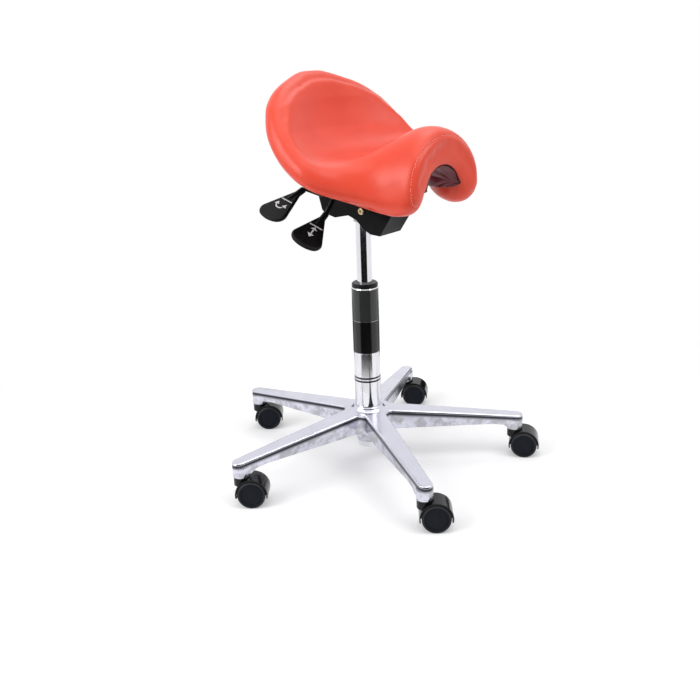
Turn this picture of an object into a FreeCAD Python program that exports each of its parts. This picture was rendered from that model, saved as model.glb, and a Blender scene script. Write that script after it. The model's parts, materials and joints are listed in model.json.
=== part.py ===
import FreeCAD, Part
import math
import os

# Saddle stool: a twin-flap saddle seat on a tilting mechanism, a gas lift and a
# five-arm cast base on twin-wheel casters. Millimetres, origin on the floor under
# the column, +Z up, the front of the seat (its pommel) towards -Y.

V = FreeCAD.Vector
UP = V(0, 0, 1)

# Fits and clearances
RUN_GAP = 0.05          # radial clearance of a running fit
SEAT_GAP = 0.1          # radial clearance of a fixed fit
SKIN_GAP = 0.8          # space kept between padding, shell and lining
SIDE_GAP = 0.3          # space between plates that move past each other
TALL = 200.0            # length of construction solids that are cut away

# Casters
WHEEL_R = 25.0
WHEEL_W = 17.0
TYRE_T = 3.5
TYRE_BEVEL = 1.8
HUB_DISH = 1.6
AXLE_R = 4.0
CASTER_WEB = 9.0        # hood web between the two wheels
TRAIL = 18.5            # wheel axle behind the stem
HOOD_T = 2.4
HOOD_CLEAR = 1.6        # tyre to the inside of the hood
STEM_R = 5.5
STEM_ROOT_R = 4.0
STEM_H = 20.0
NECK_R = 14.0
HOOD_SKIRT = 6.0        # hood below the axle's height
WHEEL_HUB_R = 9.0       # hub of the web around the axle
STEM_ROOT_Z = 33.5      # foot of the stem in the web
CASTER_HEADINGS = (-51.0, -60.0, -58.0, -48.0, -52.0)

# Five-arm base
ARMS = 5
ARM_ONE = -31.7         # direction of the first arm from -Y towards +X, degrees
STEM_CIRCLE_R = 284.0
BOSS_R = 15.0
BOSS_Z = 55.0
ARM_UNDER_Z = 69.0
ARM_TOP_ROOT_Z = 108.0
ARM_TOP_TIP_Z = 82.0
ARM_ROOT_W = 44.0
ARM_TIP_W = 25.0
ARM_WALL = 5.0
FORK_R = 13.0           # rounding where two arms meet
HUB_R = 33.0
HUB_TOP_Z = 116.0
HUB_FLARE_R = 46.0
HUB_LOW_R = 24.0
HUB_LOW_Z = 44.0
ARM_EDGE_R = 3.0

# Gas lift
TUBE_R = 25.0
TUBE_WALL = 2.0
TUBE_TOP_Z = 350.0
TUBE_LOW_Z = 32.0
TAPER_Z = 100.0         # below this the tube narrows into the hub
TUBE_LOW_R = 22.5
BUSH_FLANGE_H = 8.0
BUSH_L = 95.0
CYL_R = 14.0
CYL_BORE_R = 12.0
CYL_LOW_Z = 215.0
CYL_TOP_Z = 516.0
CYL_TAPER_Z = 484.0
CYL_TOP_R = 12.9
ROD_R = 5.0
ROD_NECK_R = 3.8
CLIP_T = 1.8
CLIP_R = 9.0
WASHER_R = 15.0
PISTON_H = 12.0
PISTON_Z = 275.0
BEARING_R = 14.0
RACE_T = 2.0
BALL_R = 2.0
BALLS = 9
BUFFER_R = 12.0
BUFFER_H = 10.0
VALVE_R = 3.0
VALVE_PROUD = 4.0

# Mechanism
BOX_W = 60.0
BOX_WALL = 2.5
BOX_TOP_Z = 533.0
BOX_REAR_Y = 79.0
BOX_FRONT_Y = -97.0
BOX_REAR_Z = 515.0      # lower end of the rear wall
BOX_FRONT_Z = 506.0     # lower end of the upright front edge
BOX_SOLE_Y = -63.0      # foot of the leaning front wall
BOX_SOLE_Z = 457.0
SOCKET_R = 17.4
SOCKET_LOW_Z = 474.0
PIVOT_Y = -23.0
PIVOT_Z = 498.5
PIVOT_R = 4.0
HEAD_R = 6.5
HEAD_H = 4.0
NUT_FLATS = 13.0
NUT_H = 6.5
HEX_KEY = 5.0           # flats of the hexagon recess in bolt and screws
EAR_T = 3.0
EAR_R = 12.0
PLATE_Z = 546.0
PLATE_T = 3.0
PLATE_W = 96.0
PLATE_REAR_Y = 58.0
PLATE_FRONT_Y = -80.0
SCREW_X = 36.0
SCREW_FRONT_Y = -64.0
SCREW_REAR_Y = 44.0
SCREW_R = 4.0
SCREW_HEAD_R = 7.5
SCREW_HEAD_H = 4.0
SCREW_BITE = 8.0        # length of screw inside the shell's post
TAB_H = 24.0            # clamp tab behind the plate, inside the box
TAB_GAP = 13.5          # from the tab to the rear wall of the box
POST_R = 11.0           # posts under the shell for the screws
POST_H = 60.0

# Levers
LEVER_R = 4.0
LEVER_BEND_R = 9.0
HEIGHT_LEVER_Y = 22.0
TILT_LEVER_Y = 50.0
PADDLE_L = 79.0
PADDLE_W = 57.0
PADDLE_T = 8.0
PADDLE_NECK_R = 6.0
PADDLE_CORNER_R = 16.8
PADDLE_CROWN = 2.2      # how far the outer edge bulges
PADDLE_CROWN_TURN = 21.3     # where the corner meets the outer edge, in degrees
PADDLE_EDGE_R = 3.0
SLEEVE_L = 36.0
SLEEVE_BACK = 15.0
# Each paddle's neck, the way it points and how far it is turned about that.
HEIGHT_NECK = (-95.0, 13.7, 490.9)
HEIGHT_WAY = (-0.890, -0.197, -0.411)
HEIGHT_ROLL = 33.0
TILT_NECK = (-95.0, 70.6, 530.6)
TILT_WAY = (-0.905, 0.127, -0.407)
TILT_ROLL = 18.5
BUSH_WALL = 3.0
BUSH_LIP = 1.5
ROCK_GAP = 0.9          # radial room for a lever to rock in its bush

# Seat: one row for each cross-section from the pommel to the top of the cantle.
# y and z place the middle of the padding, lean tips the section back from upright,
# reach and rise place the centre of the edge roll, turn is the edge's direction,
# and the last two are the thickness in the middle and of the roll.
SEAT_SECTIONS = (
    (-188.0, 611.0, -4.0, 81.0, -62.0, -90.0, 52.0, 38.0),
    (-174.0, 615.0, -4.0, 80.0, -72.0, -89.0, 63.0, 49.0),
    (-138.0, 616.0, 0.0, 83.0, -79.0, -81.0, 66.0, 53.0),
    (-98.0, 604.0, 8.0, 106.0, -56.0, -55.0, 59.0, 50.0),
    (-62.0, 586.0, 10.0, 140.0, -27.0, -25.0, 54.0, 46.0),
    (-22.0, 575.0, 15.0, 163.0, 2.0, -2.0, 50.0, 45.0),
    (28.0, 587.0, 28.0, 162.0, 21.0, 15.0, 48.0, 45.0),
    (74.0, 629.0, 43.0, 150.0, 27.0, 22.0, 46.0, 46.0),
    (103.0, 675.0, 52.0, 121.0, 23.0, 20.0, 44.0, 45.0),
    (111.0, 705.0, 56.0, 89.0, 13.0, 14.0, 43.0, 44.0),
    (112.0, 720.0, 60.0, 60.0, 7.0, 9.0, 41.0, 42.0),
    (117.5, 733.0, 63.0, 35.0, 3.0, 4.0, 34.0, 34.0),
    (123.5, 741.0, 66.0, 14.0, 0.0, 0.0, 18.0, 18.0),
)
SHELL_T = 6.0
SHELL_SHARE = 0.8       # how far the shell follows the outer arc of a section
LINING_T = 2.5
SHELL_FIRST = 1         # sections that the shell and the lining run between
SHELL_LAST = 9
LINING_REAR_Y = -80.0
TRIM_PROUD = 1.0        # how far the cover's front edge roll stands over the lining
TRIM_SHARE = 0.84

# Derived sizes
HOOD_IN_R = WHEEL_R + HOOD_CLEAR
HOOD_OUT_R = HOOD_IN_R + HOOD_T
WHEEL_OFF = CASTER_WEB / 2 + SIDE_GAP
HOOD_W = CASTER_WEB + 2 * (SIDE_GAP + WHEEL_W) - 4.0
HOOD_TOP_Z = BOSS_Z - 0.5
NECK_Z = WHEEL_R + math.sqrt(HOOD_IN_R ** 2 - TRAIL ** 2)
ARM_END_R = STEM_CIRCLE_R + BOSS_R + 0.8
TUBE_BORE_R = TUBE_R - TUBE_WALL
TUBE_FLOOR_Z = TUBE_LOW_Z + TUBE_WALL * 2
BEARING_H = 2 * RACE_T + 2 * BALL_R
BOX_IN = BOX_W / 2 - BOX_WALL
VALVE_TOP_Z = CYL_TOP_Z + VALVE_PROUD
LEVER_Z = VALVE_TOP_Z + SIDE_GAP + LEVER_R
CLIP_Z = TUBE_LOW_Z - 4.0
ROD_SHOULDER_Z = TUBE_FLOOR_Z + BEARING_H
SHELL_UNDER = SKIN_GAP + SHELL_T


def save(name, shape):
    """Write one node as a STEP file."""
    if not shape.isValid():
        print("not valid:", name)
    shape.exportStep("parts/" + name + ".step")
    print(name, len(shape.Solids), round(shape.Volume, 1))


def cylinder(radius, low, high, x=0.0, y=0.0):
    """Upright cylinder between two heights."""
    return Part.makeCylinder(radius, high - low, V(x, y, low), UP)


def bar_x(radius, x_low, x_high, y, z):
    """Cylinder along X."""
    return Part.makeCylinder(radius, x_high - x_low, V(x_low, y, z), V(1, 0, 0))


def revolved(points, axis=UP):
    """Solid of revolution about Z from (radius, height) corners."""
    corners = [V(r, 0, z) for r, z in points]
    outline = Part.makePolygon(corners + corners[:1])
    return Part.Face(outline).revolve(V(0, 0, 0), axis, 360)


def polar(radius, angle):
    """Point on the floor plan, angle in degrees from -Y towards +X."""
    turn = math.radians(angle)
    return V(radius * math.sin(turn), -radius * math.cos(turn), 0)


def arm_angle(index):
    """Direction of one arm of the base."""
    return ARM_ONE + index * 360.0 / ARMS


def star_outline(shrink):
    """Plan of the five arms with rounded forks, as a face at z = 0."""
    star = None
    for index in range(ARMS):
        angle = arm_angle(index)
        along = polar(1.0, angle)
        side = V(-along.y, along.x, 0)
        root = ARM_ROOT_W / 2 - shrink
        tip = ARM_TIP_W / 2 - shrink
        end = ARM_END_R - ARM_TIP_W / 2
        a = side * root
        b = along * end + side * tip
        c = along * (end + tip)
        d = along * end - side * tip
        e = side * -root
        edges = [Part.LineSegment(a, b).toShape(), Part.Arc(b, c, d).toShape(),
                 Part.LineSegment(d, e).toShape(), Part.LineSegment(e, a).toShape()]
        arm = Part.Face(Part.Wire(edges)).extrude(UP * TALL)
        star = arm if star is None else star.fuse(arm)
    star = star.removeSplitter()
    forks = []
    for edge in star.Edges:
        ends = [v.Point for v in edge.Vertexes]
        if len(ends) == 2 and abs(ends[0].z - ends[1].z) > TALL - 1:
            if 5.0 < V(ends[0].x, ends[0].y, 0).Length < HUB_R * 1.6:
                forks.append(edge)
    return star.makeFillet(FORK_R + shrink, forks)


def hub_casting():
    """Hub with a cone below and a collar above that flares into the arms."""
    flare_z = ARM_TOP_ROOT_Z - 2.0
    low = [V(0, 0, HUB_LOW_Z), V(HUB_LOW_R, 0, HUB_LOW_Z), V(HUB_LOW_R + 3, 0, ARM_UNDER_Z - 2),
           V(HUB_R, 0, ARM_UNDER_Z + 8), V(HUB_R, 0, flare_z - 6), V(HUB_FLARE_R, 0, flare_z - 4),
           V(HUB_FLARE_R, 0, flare_z)]
    collar = V(TUBE_R + 3.5, 0, HUB_TOP_Z - 1)
    bend = V((2 * collar.x + low[-1].x) / 3 - 1.5, 0, (collar.z + 2 * low[-1].z) / 3 - 0.5)
    edges = [Part.LineSegment(a, b).toShape() for a, b in zip(low, low[1:])]
    edges.append(Part.Arc(low[-1], bend, collar).toShape())
    rest = [collar, V(TUBE_R + 2.5, 0, HUB_TOP_Z), V(0, 0, HUB_TOP_Z), low[0]]
    edges += [Part.LineSegment(a, b).toShape() for a, b in zip(rest, rest[1:])]
    return Part.Face(Part.Wire(edges)).revolve(V(0, 0, 0), UP, 360)


def star_base():
    """Cast base: sloping arms on a hub, hollow underneath, a boss at each tip."""
    curve_r = STEM_CIRCLE_R - BOSS_R
    body = revolved([(0, HUB_LOW_Z + 20), (HUB_R + 12, ARM_UNDER_Z), (curve_r - 30, ARM_UNDER_Z),
                     (curve_r - 8, ARM_UNDER_Z - 3), (curve_r + 2, BOSS_Z + 4),
                     (ARM_END_R + 5, BOSS_Z + 4), (ARM_END_R + 5, ARM_TOP_TIP_Z),
                     (HUB_R, ARM_TOP_ROOT_Z), (0, ARM_TOP_ROOT_Z)])
    arms = star_outline(0).common(body)
    top_edges = []
    for edge in arms.Edges:
        mid = edge.valueAt((edge.FirstParameter + edge.LastParameter) / 2)
        out = math.hypot(mid.x, mid.y)
        slope = (ARM_TOP_ROOT_Z - ARM_TOP_TIP_Z) / (ARM_END_R + 5 - HUB_R)
        face_z = ARM_TOP_ROOT_Z - max(0.0, out - HUB_R) * slope
        if abs(mid.z - face_z) < 1.0 and out > HUB_R + 2:
            top_edges.append(edge)
    arms = arms.makeFillet(ARM_EDGE_R, top_edges)
    hollow_top = ARM_TOP_TIP_Z - ARM_WALL
    hollow = revolved([(HUB_R + 6, 0), (curve_r - 34, 0), (curve_r - 34, hollow_top),
                       (HUB_R + 6, ARM_TOP_ROOT_Z - ARM_WALL - 4)])
    channel = star_outline(ARM_WALL).common(hollow)
    arms = arms.cut(channel)
    base = arms.fuse(hub_casting())
    for index in range(ARMS):
        centre = polar(STEM_CIRCLE_R, arm_angle(index))
        base = base.fuse(cylinder(BOSS_R, BOSS_Z, ARM_TOP_TIP_Z - 6, centre.x, centre.y))
    bore = revolved([(0, 0), (TUBE_LOW_R + SEAT_GAP, 0), (TUBE_LOW_R + SEAT_GAP, TUBE_LOW_Z),
                     (TUBE_R + SEAT_GAP, TAPER_Z), (TUBE_R + SEAT_GAP, TALL), (0, TALL)])
    base = base.cut(bore)
    for index in range(ARMS):
        centre = polar(STEM_CIRCLE_R, arm_angle(index))
        hole = cylinder(STEM_R + RUN_GAP, 0, BOSS_Z + STEM_H + 0.5, centre.x, centre.y)
        base = base.cut(hole)
    return base.removeSplitter()


def column_tube():
    """Outer tube of the gas lift: rolled rim, tapered foot, closed bottom."""
    outer = [(0, TUBE_LOW_Z), (TUBE_LOW_R - 1, TUBE_LOW_Z), (TUBE_LOW_R, TUBE_LOW_Z + 1),
             (TUBE_R, TAPER_Z), (TUBE_R, TUBE_TOP_Z - 2), (TUBE_R - 1, TUBE_TOP_Z)]
    inner = [(TUBE_BORE_R, TUBE_TOP_Z), (TUBE_BORE_R, TAPER_Z + 4),
             (TUBE_LOW_R - TUBE_WALL, TUBE_FLOOR_Z), (0, TUBE_FLOOR_Z)]
    tube = revolved(outer + inner)
    return tube.cut(cylinder(ROD_NECK_R + SEAT_GAP, 0, TUBE_FLOOR_Z + 1))


def column_bush():
    """Plastic guide that centres the sliding cylinder at the tube's mouth."""
    return revolved([(CYL_R + RUN_GAP, TUBE_TOP_Z - BUSH_L), (TUBE_BORE_R - SEAT_GAP, TUBE_TOP_Z - BUSH_L),
                     (TUBE_BORE_R - SEAT_GAP, TUBE_TOP_Z), (TUBE_R - 0.5, TUBE_TOP_Z),
                     (TUBE_R - 0.5, TUBE_TOP_Z + BUSH_FLANGE_H - 2),
                     (TUBE_R - 2.5, TUBE_TOP_Z + BUSH_FLANGE_H),
                     (CYL_R + RUN_GAP, TUBE_TOP_Z + BUSH_FLANGE_H)])


def thrust_bearing():
    """Two races with a ring of balls, on the floor of the tube."""
    race = cylinder(BEARING_R, TUBE_FLOOR_Z, TUBE_FLOOR_Z + RACE_T)
    race = race.cut(cylinder(ROD_NECK_R + SEAT_GAP, 0, TALL))
    upper = race.copy()
    upper.translate(V(0, 0, RACE_T + 2 * BALL_R))
    solids = [race, upper]
    ring_r = (BEARING_R + ROD_R) / 2
    for index in range(BALLS):
        turn = 2 * math.pi * index / BALLS
        centre = V(ring_r * math.cos(turn), ring_r * math.sin(turn), TUBE_FLOOR_Z + RACE_T + BALL_R)
        solids.append(Part.makeSphere(BALL_R, centre))
    return Part.makeCompound(solids)


def rod_buffer():
    """Rubber stop on the bearing for the bottom of the stroke."""
    low = ROD_SHOULDER_Z
    return revolved([(ROD_R + RUN_GAP, low), (BUFFER_R, low), (BUFFER_R - 2, low + BUFFER_H / 2),
                     (BUFFER_R, low + BUFFER_H), (ROD_R + RUN_GAP, low + BUFFER_H)])


def piston_rod():
    """Rod held at the foot of the tube, with a shoulder on the bearing."""
    low = CLIP_Z - 3
    groove_r = ROD_NECK_R - 1
    return revolved([(0, low), (ROD_NECK_R, low), (ROD_NECK_R, CLIP_Z), (groove_r, CLIP_Z),
                     (groove_r, CLIP_Z + CLIP_T), (ROD_NECK_R, CLIP_Z + CLIP_T),
                     (ROD_NECK_R, ROD_SHOULDER_Z), (ROD_R, ROD_SHOULDER_Z), (ROD_R, PISTON_Z),
                     (0, PISTON_Z)])


def rod_clip():
    """Spring clip in the groove under the tube, on its washer."""
    slot = 2 * ROD_NECK_R - 2.4
    clip = cylinder(CLIP_R, CLIP_Z, CLIP_Z + CLIP_T)
    clip = clip.cut(cylinder(ROD_NECK_R - 1 + SEAT_GAP, 0, TUBE_LOW_Z))
    clip = clip.cut(Part.makeBox(slot, 2 * CLIP_R, 2 * CLIP_T, V(-slot / 2, 0, CLIP_Z - 1)))
    washer = cylinder(WASHER_R, CLIP_Z + CLIP_T, TUBE_LOW_Z)
    washer = washer.cut(cylinder(ROD_NECK_R + SEAT_GAP, 0, TUBE_LOW_Z))
    return Part.makeCompound([clip, washer])


def rod_piston():
    """Piston on the end of the rod, running inside the cylinder."""
    low = PISTON_Z
    run_r = CYL_BORE_R - RUN_GAP
    return revolved([(0, low), (run_r, low), (run_r, low + 4), (run_r - 1.5, low + 4),
                     (run_r - 1.5, low + 7), (run_r, low + 7), (run_r, low + PISTON_H),
                     (0, low + PISTON_H)])


def gas_cylinder():
    """Sliding pressure cylinder, its upper end tapered for the mechanism's socket."""
    outer = [(ROD_R + RUN_GAP, CYL_LOW_Z), (CYL_R - 1, CYL_LOW_Z), (CYL_R, CYL_LOW_Z + 1),
             (CYL_R, CYL_TAPER_Z), (CYL_TOP_R, CYL_TOP_Z)]
    inner = [(VALVE_R + RUN_GAP, CYL_TOP_Z), (VALVE_R + RUN_GAP, CYL_TOP_Z - 18),
             (CYL_BORE_R, CYL_TOP_Z - 18), (CYL_BORE_R, CYL_LOW_Z + 14),
             (ROD_R + RUN_GAP, CYL_LOW_Z + 14)]
    return revolved(outer + inner)


def valve_button():
    """Release pin at the top of the cylinder."""
    return revolved([(0, CYL_TOP_Z - 10), (VALVE_R, CYL_TOP_Z - 10), (VALVE_R, VALVE_TOP_Z - 1),
                     (VALVE_R - 1, VALVE_TOP_Z), (0, VALVE_TOP_Z)])


def box_profile(inset):
    """Side outline of the mechanism's box in the plane x = 0, set in by a wall."""
    heel = BOX_REAR_Z
    waist = SOCKET_LOW_Z + 6.5
    outer = [(BOX_REAR_Y, BOX_TOP_Z), (BOX_REAR_Y, heel), (BOX_REAR_Y - 7, heel - 23),
             (BOX_REAR_Y - 15, heel - 29.5), (BOX_REAR_Y - 38, waist), (9.0, waist + 7),
             (-9.0, waist + 0.5), (BOX_SOLE_Y + 36, BOX_SOLE_Z + 8), (BOX_SOLE_Y + 21, BOX_SOLE_Z + 1),
             (BOX_SOLE_Y, BOX_SOLE_Z), (BOX_FRONT_Y, BOX_FRONT_Z), (BOX_FRONT_Y, BOX_TOP_Z)]
    face = Part.Face(Part.makePolygon([V(0, y, z) for y, z in outer + outer[:1]]))
    return Part.Face(face.makeOffset2D(-inset, 2).OuterWire) if inset else face


def mechanism_housing():
    """Folded steel box, open at the top, that carries the socket and the pivot."""
    outer = box_profile(0).extrude(V(BOX_W, 0, 0))
    outer.translate(V(-BOX_W / 2, 0, 0))
    inner = box_profile(BOX_WALL).extrude(V(BOX_W - 2 * BOX_WALL, 0, 0))
    inner.translate(V(-BOX_IN, 0, 0))
    mouth = Part.makeBox(2 * BOX_IN, BOX_REAR_Y - BOX_FRONT_Y - 2 * BOX_WALL, 3 * BOX_WALL,
                         V(-BOX_IN, BOX_FRONT_Y + BOX_WALL, BOX_TOP_Z - 2 * BOX_WALL))
    box = outer.cut(inner).cut(mouth)
    box = box.cut(cylinder(SOCKET_R + SEAT_GAP, 400, BOX_TOP_Z))
    box = box.cut(bar_x(PIVOT_R + SEAT_GAP, -50, 50, PIVOT_Y, PIVOT_Z))
    for y in (HEIGHT_LEVER_Y, TILT_LEVER_Y):
        box = box.cut(bar_x(LEVER_R + BUSH_WALL + SEAT_GAP, -50, 0, y, LEVER_Z))
    return box


def taper_socket():
    """Tapered sleeve, welded in the box, that grips the cylinder's upper end."""
    slope = (CYL_R - CYL_TOP_R) / (CYL_TOP_Z - CYL_TAPER_Z)
    top = CYL_TOP_Z - 6
    low_r = CYL_R + SEAT_GAP
    return revolved([(low_r, SOCKET_LOW_Z), (SOCKET_R, SOCKET_LOW_Z), (SOCKET_R, top),
                     (low_r - slope * (top - CYL_TAPER_Z), top), (low_r, CYL_TAPER_Z)])


def tilt_carrier():
    """Plate under the seat with two ears that hang inside the box on the pivot."""
    plate = Part.makeBox(PLATE_W, PLATE_REAR_Y - PLATE_FRONT_Y, PLATE_T,
                         V(-PLATE_W / 2, PLATE_FRONT_Y, PLATE_Z))
    corners = [e for e in plate.Edges if abs(e.tangentAt(e.FirstParameter).z) > 0.9]
    plate = plate.makeFillet(10.0, corners)
    ear_x = BOX_IN - SIDE_GAP - EAR_T
    span = EAR_R + 10.0
    for side in (1, -1):
        lug = bar_x(EAR_R, ear_x, ear_x + EAR_T, PIVOT_Y, PIVOT_Z)
        web = Part.makePolygon([V(ear_x, PIVOT_Y - EAR_R, PIVOT_Z), V(ear_x, PIVOT_Y + EAR_R, PIVOT_Z),
                                V(ear_x, PIVOT_Y + span, PLATE_Z), V(ear_x, PIVOT_Y - span, PLATE_Z),
                                V(ear_x, PIVOT_Y - EAR_R, PIVOT_Z)])
        ear = lug.fuse(Part.Face(web).extrude(V(EAR_T, 0, 0)))
        if side < 0:
            ear = ear.mirror(V(0, 0, 0), V(1, 0, 0))
        plate = plate.fuse(ear)
    tab_x = ear_x - EAR_T
    tab_y = BOX_REAR_Y - BOX_WALL - TAB_GAP
    tab = Part.makeBox(2 * tab_x, EAR_T, TAB_H, V(-tab_x, tab_y, PLATE_Z - TAB_H))
    root_y = PLATE_REAR_Y - 8
    arm = Part.makeBox(2 * tab_x, tab_y + EAR_T - root_y, EAR_T, V(-tab_x, root_y, PLATE_Z))
    plate = plate.fuse(tab).fuse(arm)
    plate = plate.cut(bar_x(PIVOT_R + RUN_GAP, -60, 60, PIVOT_Y, PIVOT_Z))
    for x, y in screw_places():
        plate = plate.cut(cylinder(SCREW_R + 0.2, PLATE_Z - 5, PLATE_Z + 10, x, y))
    return plate.removeSplitter()


def screw_places():
    """Plan positions of the four seat screws."""
    return [(x, y) for y in (SCREW_FRONT_Y, SCREW_REAR_Y) for x in (-SCREW_X, SCREW_X)]


def hexagon(across_flats, height):
    """Hexagonal prism on the floor."""
    radius = across_flats / math.sqrt(3)
    corners = [V(radius * math.cos(math.radians(60 * k)), radius * math.sin(math.radians(60 * k)), 0)
               for k in range(7)]
    return Part.Face(Part.makePolygon(corners)).extrude(V(0, 0, height))


def pivot_bolt():
    """Bolt through box and ears, domed head on the lever side."""
    half = BOX_W / 2
    shank = bar_x(PIVOT_R, -half, half + NUT_H + 2.5, PIVOT_Y, PIVOT_Z)
    head = bar_x(HEAD_R, -half - HEAD_H, -half, PIVOT_Y, PIVOT_Z)
    rim = [e for e in head.Edges if e.BoundBox.XMax < -half - HEAD_H + 0.1]
    head = head.makeFillet(HEAD_H / 2, rim)
    socket = hexagon(HEX_KEY, HEAD_H - 1)
    socket.rotate(V(0, 0, 0), V(0, 1, 0), 90)
    socket.translate(V(-half - HEAD_H - 0.5, PIVOT_Y, PIVOT_Z))
    return shank.fuse(head).cut(socket)


def pivot_nut():
    """Lock nut on the far side of the box."""
    nut = hexagon(NUT_FLATS, NUT_H)
    nut.rotate(V(0, 0, 0), V(0, 1, 0), 90)
    nut.translate(V(BOX_W / 2, PIVOT_Y, PIVOT_Z))
    return nut.cut(bar_x(PIVOT_R + RUN_GAP, 0, 60, PIVOT_Y, PIVOT_Z))


def bent_rod(points, radius, bend):
    """Round rod along straight runs joined by tangent arcs."""
    edges = []
    start = points[0]
    for before, corner, after in zip(points, points[1:], points[2:]):
        into = (corner - before).normalize()
        out = (after - corner).normalize()
        half_turn = math.acos(max(-1.0, min(1.0, into.dot(out)))) / 2
        back = bend * math.tan(half_turn)
        first = corner - into * back
        last = corner + out * back
        inward = (out - into).normalize()
        middle = corner + inward * (bend / math.cos(half_turn) - bend)
        edges.append(Part.LineSegment(start, first).toShape())
        edges.append(Part.Arc(first, middle, last).toShape())
        start = last
    edges.append(Part.LineSegment(start, points[-1]).toShape())
    path = Part.Wire(edges)
    ring = Part.Wire([Part.Circle(points[0], points[1] - points[0], radius).toShape()])
    return path.makePipeShell([ring], True, False)


def height_lever_route():
    """Corners of the height lever, from over the valve to its paddle."""
    z = LEVER_Z
    y = HEIGHT_LEVER_Y
    neck = V(*HEIGHT_NECK)
    way = V(*HEIGHT_WAY).normalize()
    return [V(3, 0, z), V(-12, 2, z), V(-16, y, z), V(-50, y, z), neck - way * 19, neck + way * 20]


def tilt_lever_route():
    """Corners of the tilt lever, from the clamping cam to its paddle."""
    z = LEVER_Z
    y = TILT_LEVER_Y
    neck = V(*TILT_NECK)
    way = V(*TILT_WAY).normalize()
    return [V(14, y, z), V(-52, y, z), neck - way * 19, neck + way * 20]


def lever_rod(route):
    """Steel rod of a lever."""
    return bent_rod(route, LEVER_R, LEVER_BEND_R)


def paddle(route, roll):
    """Moulded grip: a flat pick-shaped plate with a socket for the rod."""
    along = (route[-1] - route[-2]).normalize()
    neck = route[-1] - along * 20
    flat = along.cross(UP).normalize()
    upright = flat.cross(along).normalize()
    c, s = math.cos(math.radians(roll)), math.sin(math.radians(roll))
    across = flat * c + upright * s
    normal = upright * c - flat * s
    corner_u = PADDLE_L - PADDLE_CROWN - PADDLE_CORNER_R
    corner_v = PADDLE_W / 2 - PADDLE_CORNER_R
    last = math.radians(PADDLE_CROWN_TURN)

    def outline(inset, level):
        """Pick-shaped wire, set in from the edge, at a level across the thickness."""
        stub = PADDLE_NECK_R - inset / 2
        round_r = PADDLE_CORNER_R - inset
        rise = corner_v - stub
        reach = math.hypot(corner_u, rise)
        side_turn = math.atan2(rise, corner_u) + math.asin(round_r / reach)
        first = side_turn + math.pi / 2

        def at(u, v):
            return neck + along * u + across * v + normal * level

        def on_corner(turn, side):
            return at(corner_u + round_r * math.cos(turn), side * (corner_v + round_r * math.sin(turn)))

        middle = (first + last) / 2
        edges = [Part.LineSegment(at(0, -stub), at(0, stub)),
                 Part.LineSegment(at(0, stub), on_corner(first, 1)),
                 Part.Arc(on_corner(first, 1), on_corner(middle, 1), on_corner(last, 1)),
                 Part.Arc(on_corner(last, 1), at(PADDLE_L - inset, 0), on_corner(last, -1)),
                 Part.Arc(on_corner(last, -1), on_corner(middle, -1), on_corner(first, -1)),
                 Part.LineSegment(on_corner(first, -1), at(0, -stub))]
        return Part.Wire([edge.toShape() for edge in edges])

    skin = PADDLE_T / 2
    rim = PADDLE_EDGE_R
    levels = ((rim, -skin), (rim * 0.3, rim * 0.35 - skin), (0, rim - skin), (0, skin - rim),
              (rim * 0.3, skin - rim * 0.35), (rim, skin))
    plate = Part.makeLoft([outline(inset, level) for inset, level in levels], True, True)
    sleeve = Part.makeCylinder(PADDLE_NECK_R, SLEEVE_L, neck - along * SLEEVE_BACK, along)
    body = plate.fuse(sleeve)
    return body.cut(lever_rod(route)).removeSplitter()


def lever_bushes():
    """Two plastic bushes in the box wall, with room for the rods to rock."""
    solids = []
    wall_x = -BOX_W / 2
    for y in (HEIGHT_LEVER_Y, TILT_LEVER_Y):
        body = bar_x(LEVER_R + BUSH_WALL, wall_x - BUSH_LIP, wall_x + BOX_WALL + BUSH_LIP, y, LEVER_Z)
        lip = bar_x(LEVER_R + BUSH_WALL + 2, wall_x - BUSH_LIP, wall_x, y, LEVER_Z)
        hole = bar_x(LEVER_R + ROCK_GAP, -TALL, 0, y, LEVER_Z)
        solids.append(body.fuse(lip).cut(hole))
    return Part.makeCompound(solids)


class Biarc:
    """Two tangent arcs from one point and direction to another, in section axes."""

    def __init__(self, start, start_turn, end, end_turn):
        t0 = (math.cos(start_turn), math.sin(start_turn))
        t1 = (math.cos(end_turn), math.sin(end_turn))
        chord = (end[0] - start[0], end[1] - start[1])
        curl = 2 * (1 - t0[0] * t1[0] - t0[1] * t1[1])
        lean = 2 * (chord[0] * (t0[0] + t1[0]) + chord[1] * (t0[1] + t1[1]))
        square = chord[0] ** 2 + chord[1] ** 2
        if curl < 1e-9:
            size = square / lean
        else:
            size = (-lean + math.sqrt(lean * lean + 4 * curl * square)) / (2 * curl)
        joint = ((start[0] + end[0] + size * (t0[0] - t1[0])) / 2,
                 (start[1] + end[1] + size * (t0[1] - t1[1])) / 2)
        self.first = Arc(start, t0, joint)
        self.second = Arc(joint, self.first.end_direction(), end)

    def arcs(self, offset=0.0, keep=1.0):
        """Both arcs as point triples, moved sideways, the last one cut short."""
        return [self.first.triple(offset, 1.0), self.second.triple(offset, keep)]


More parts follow.
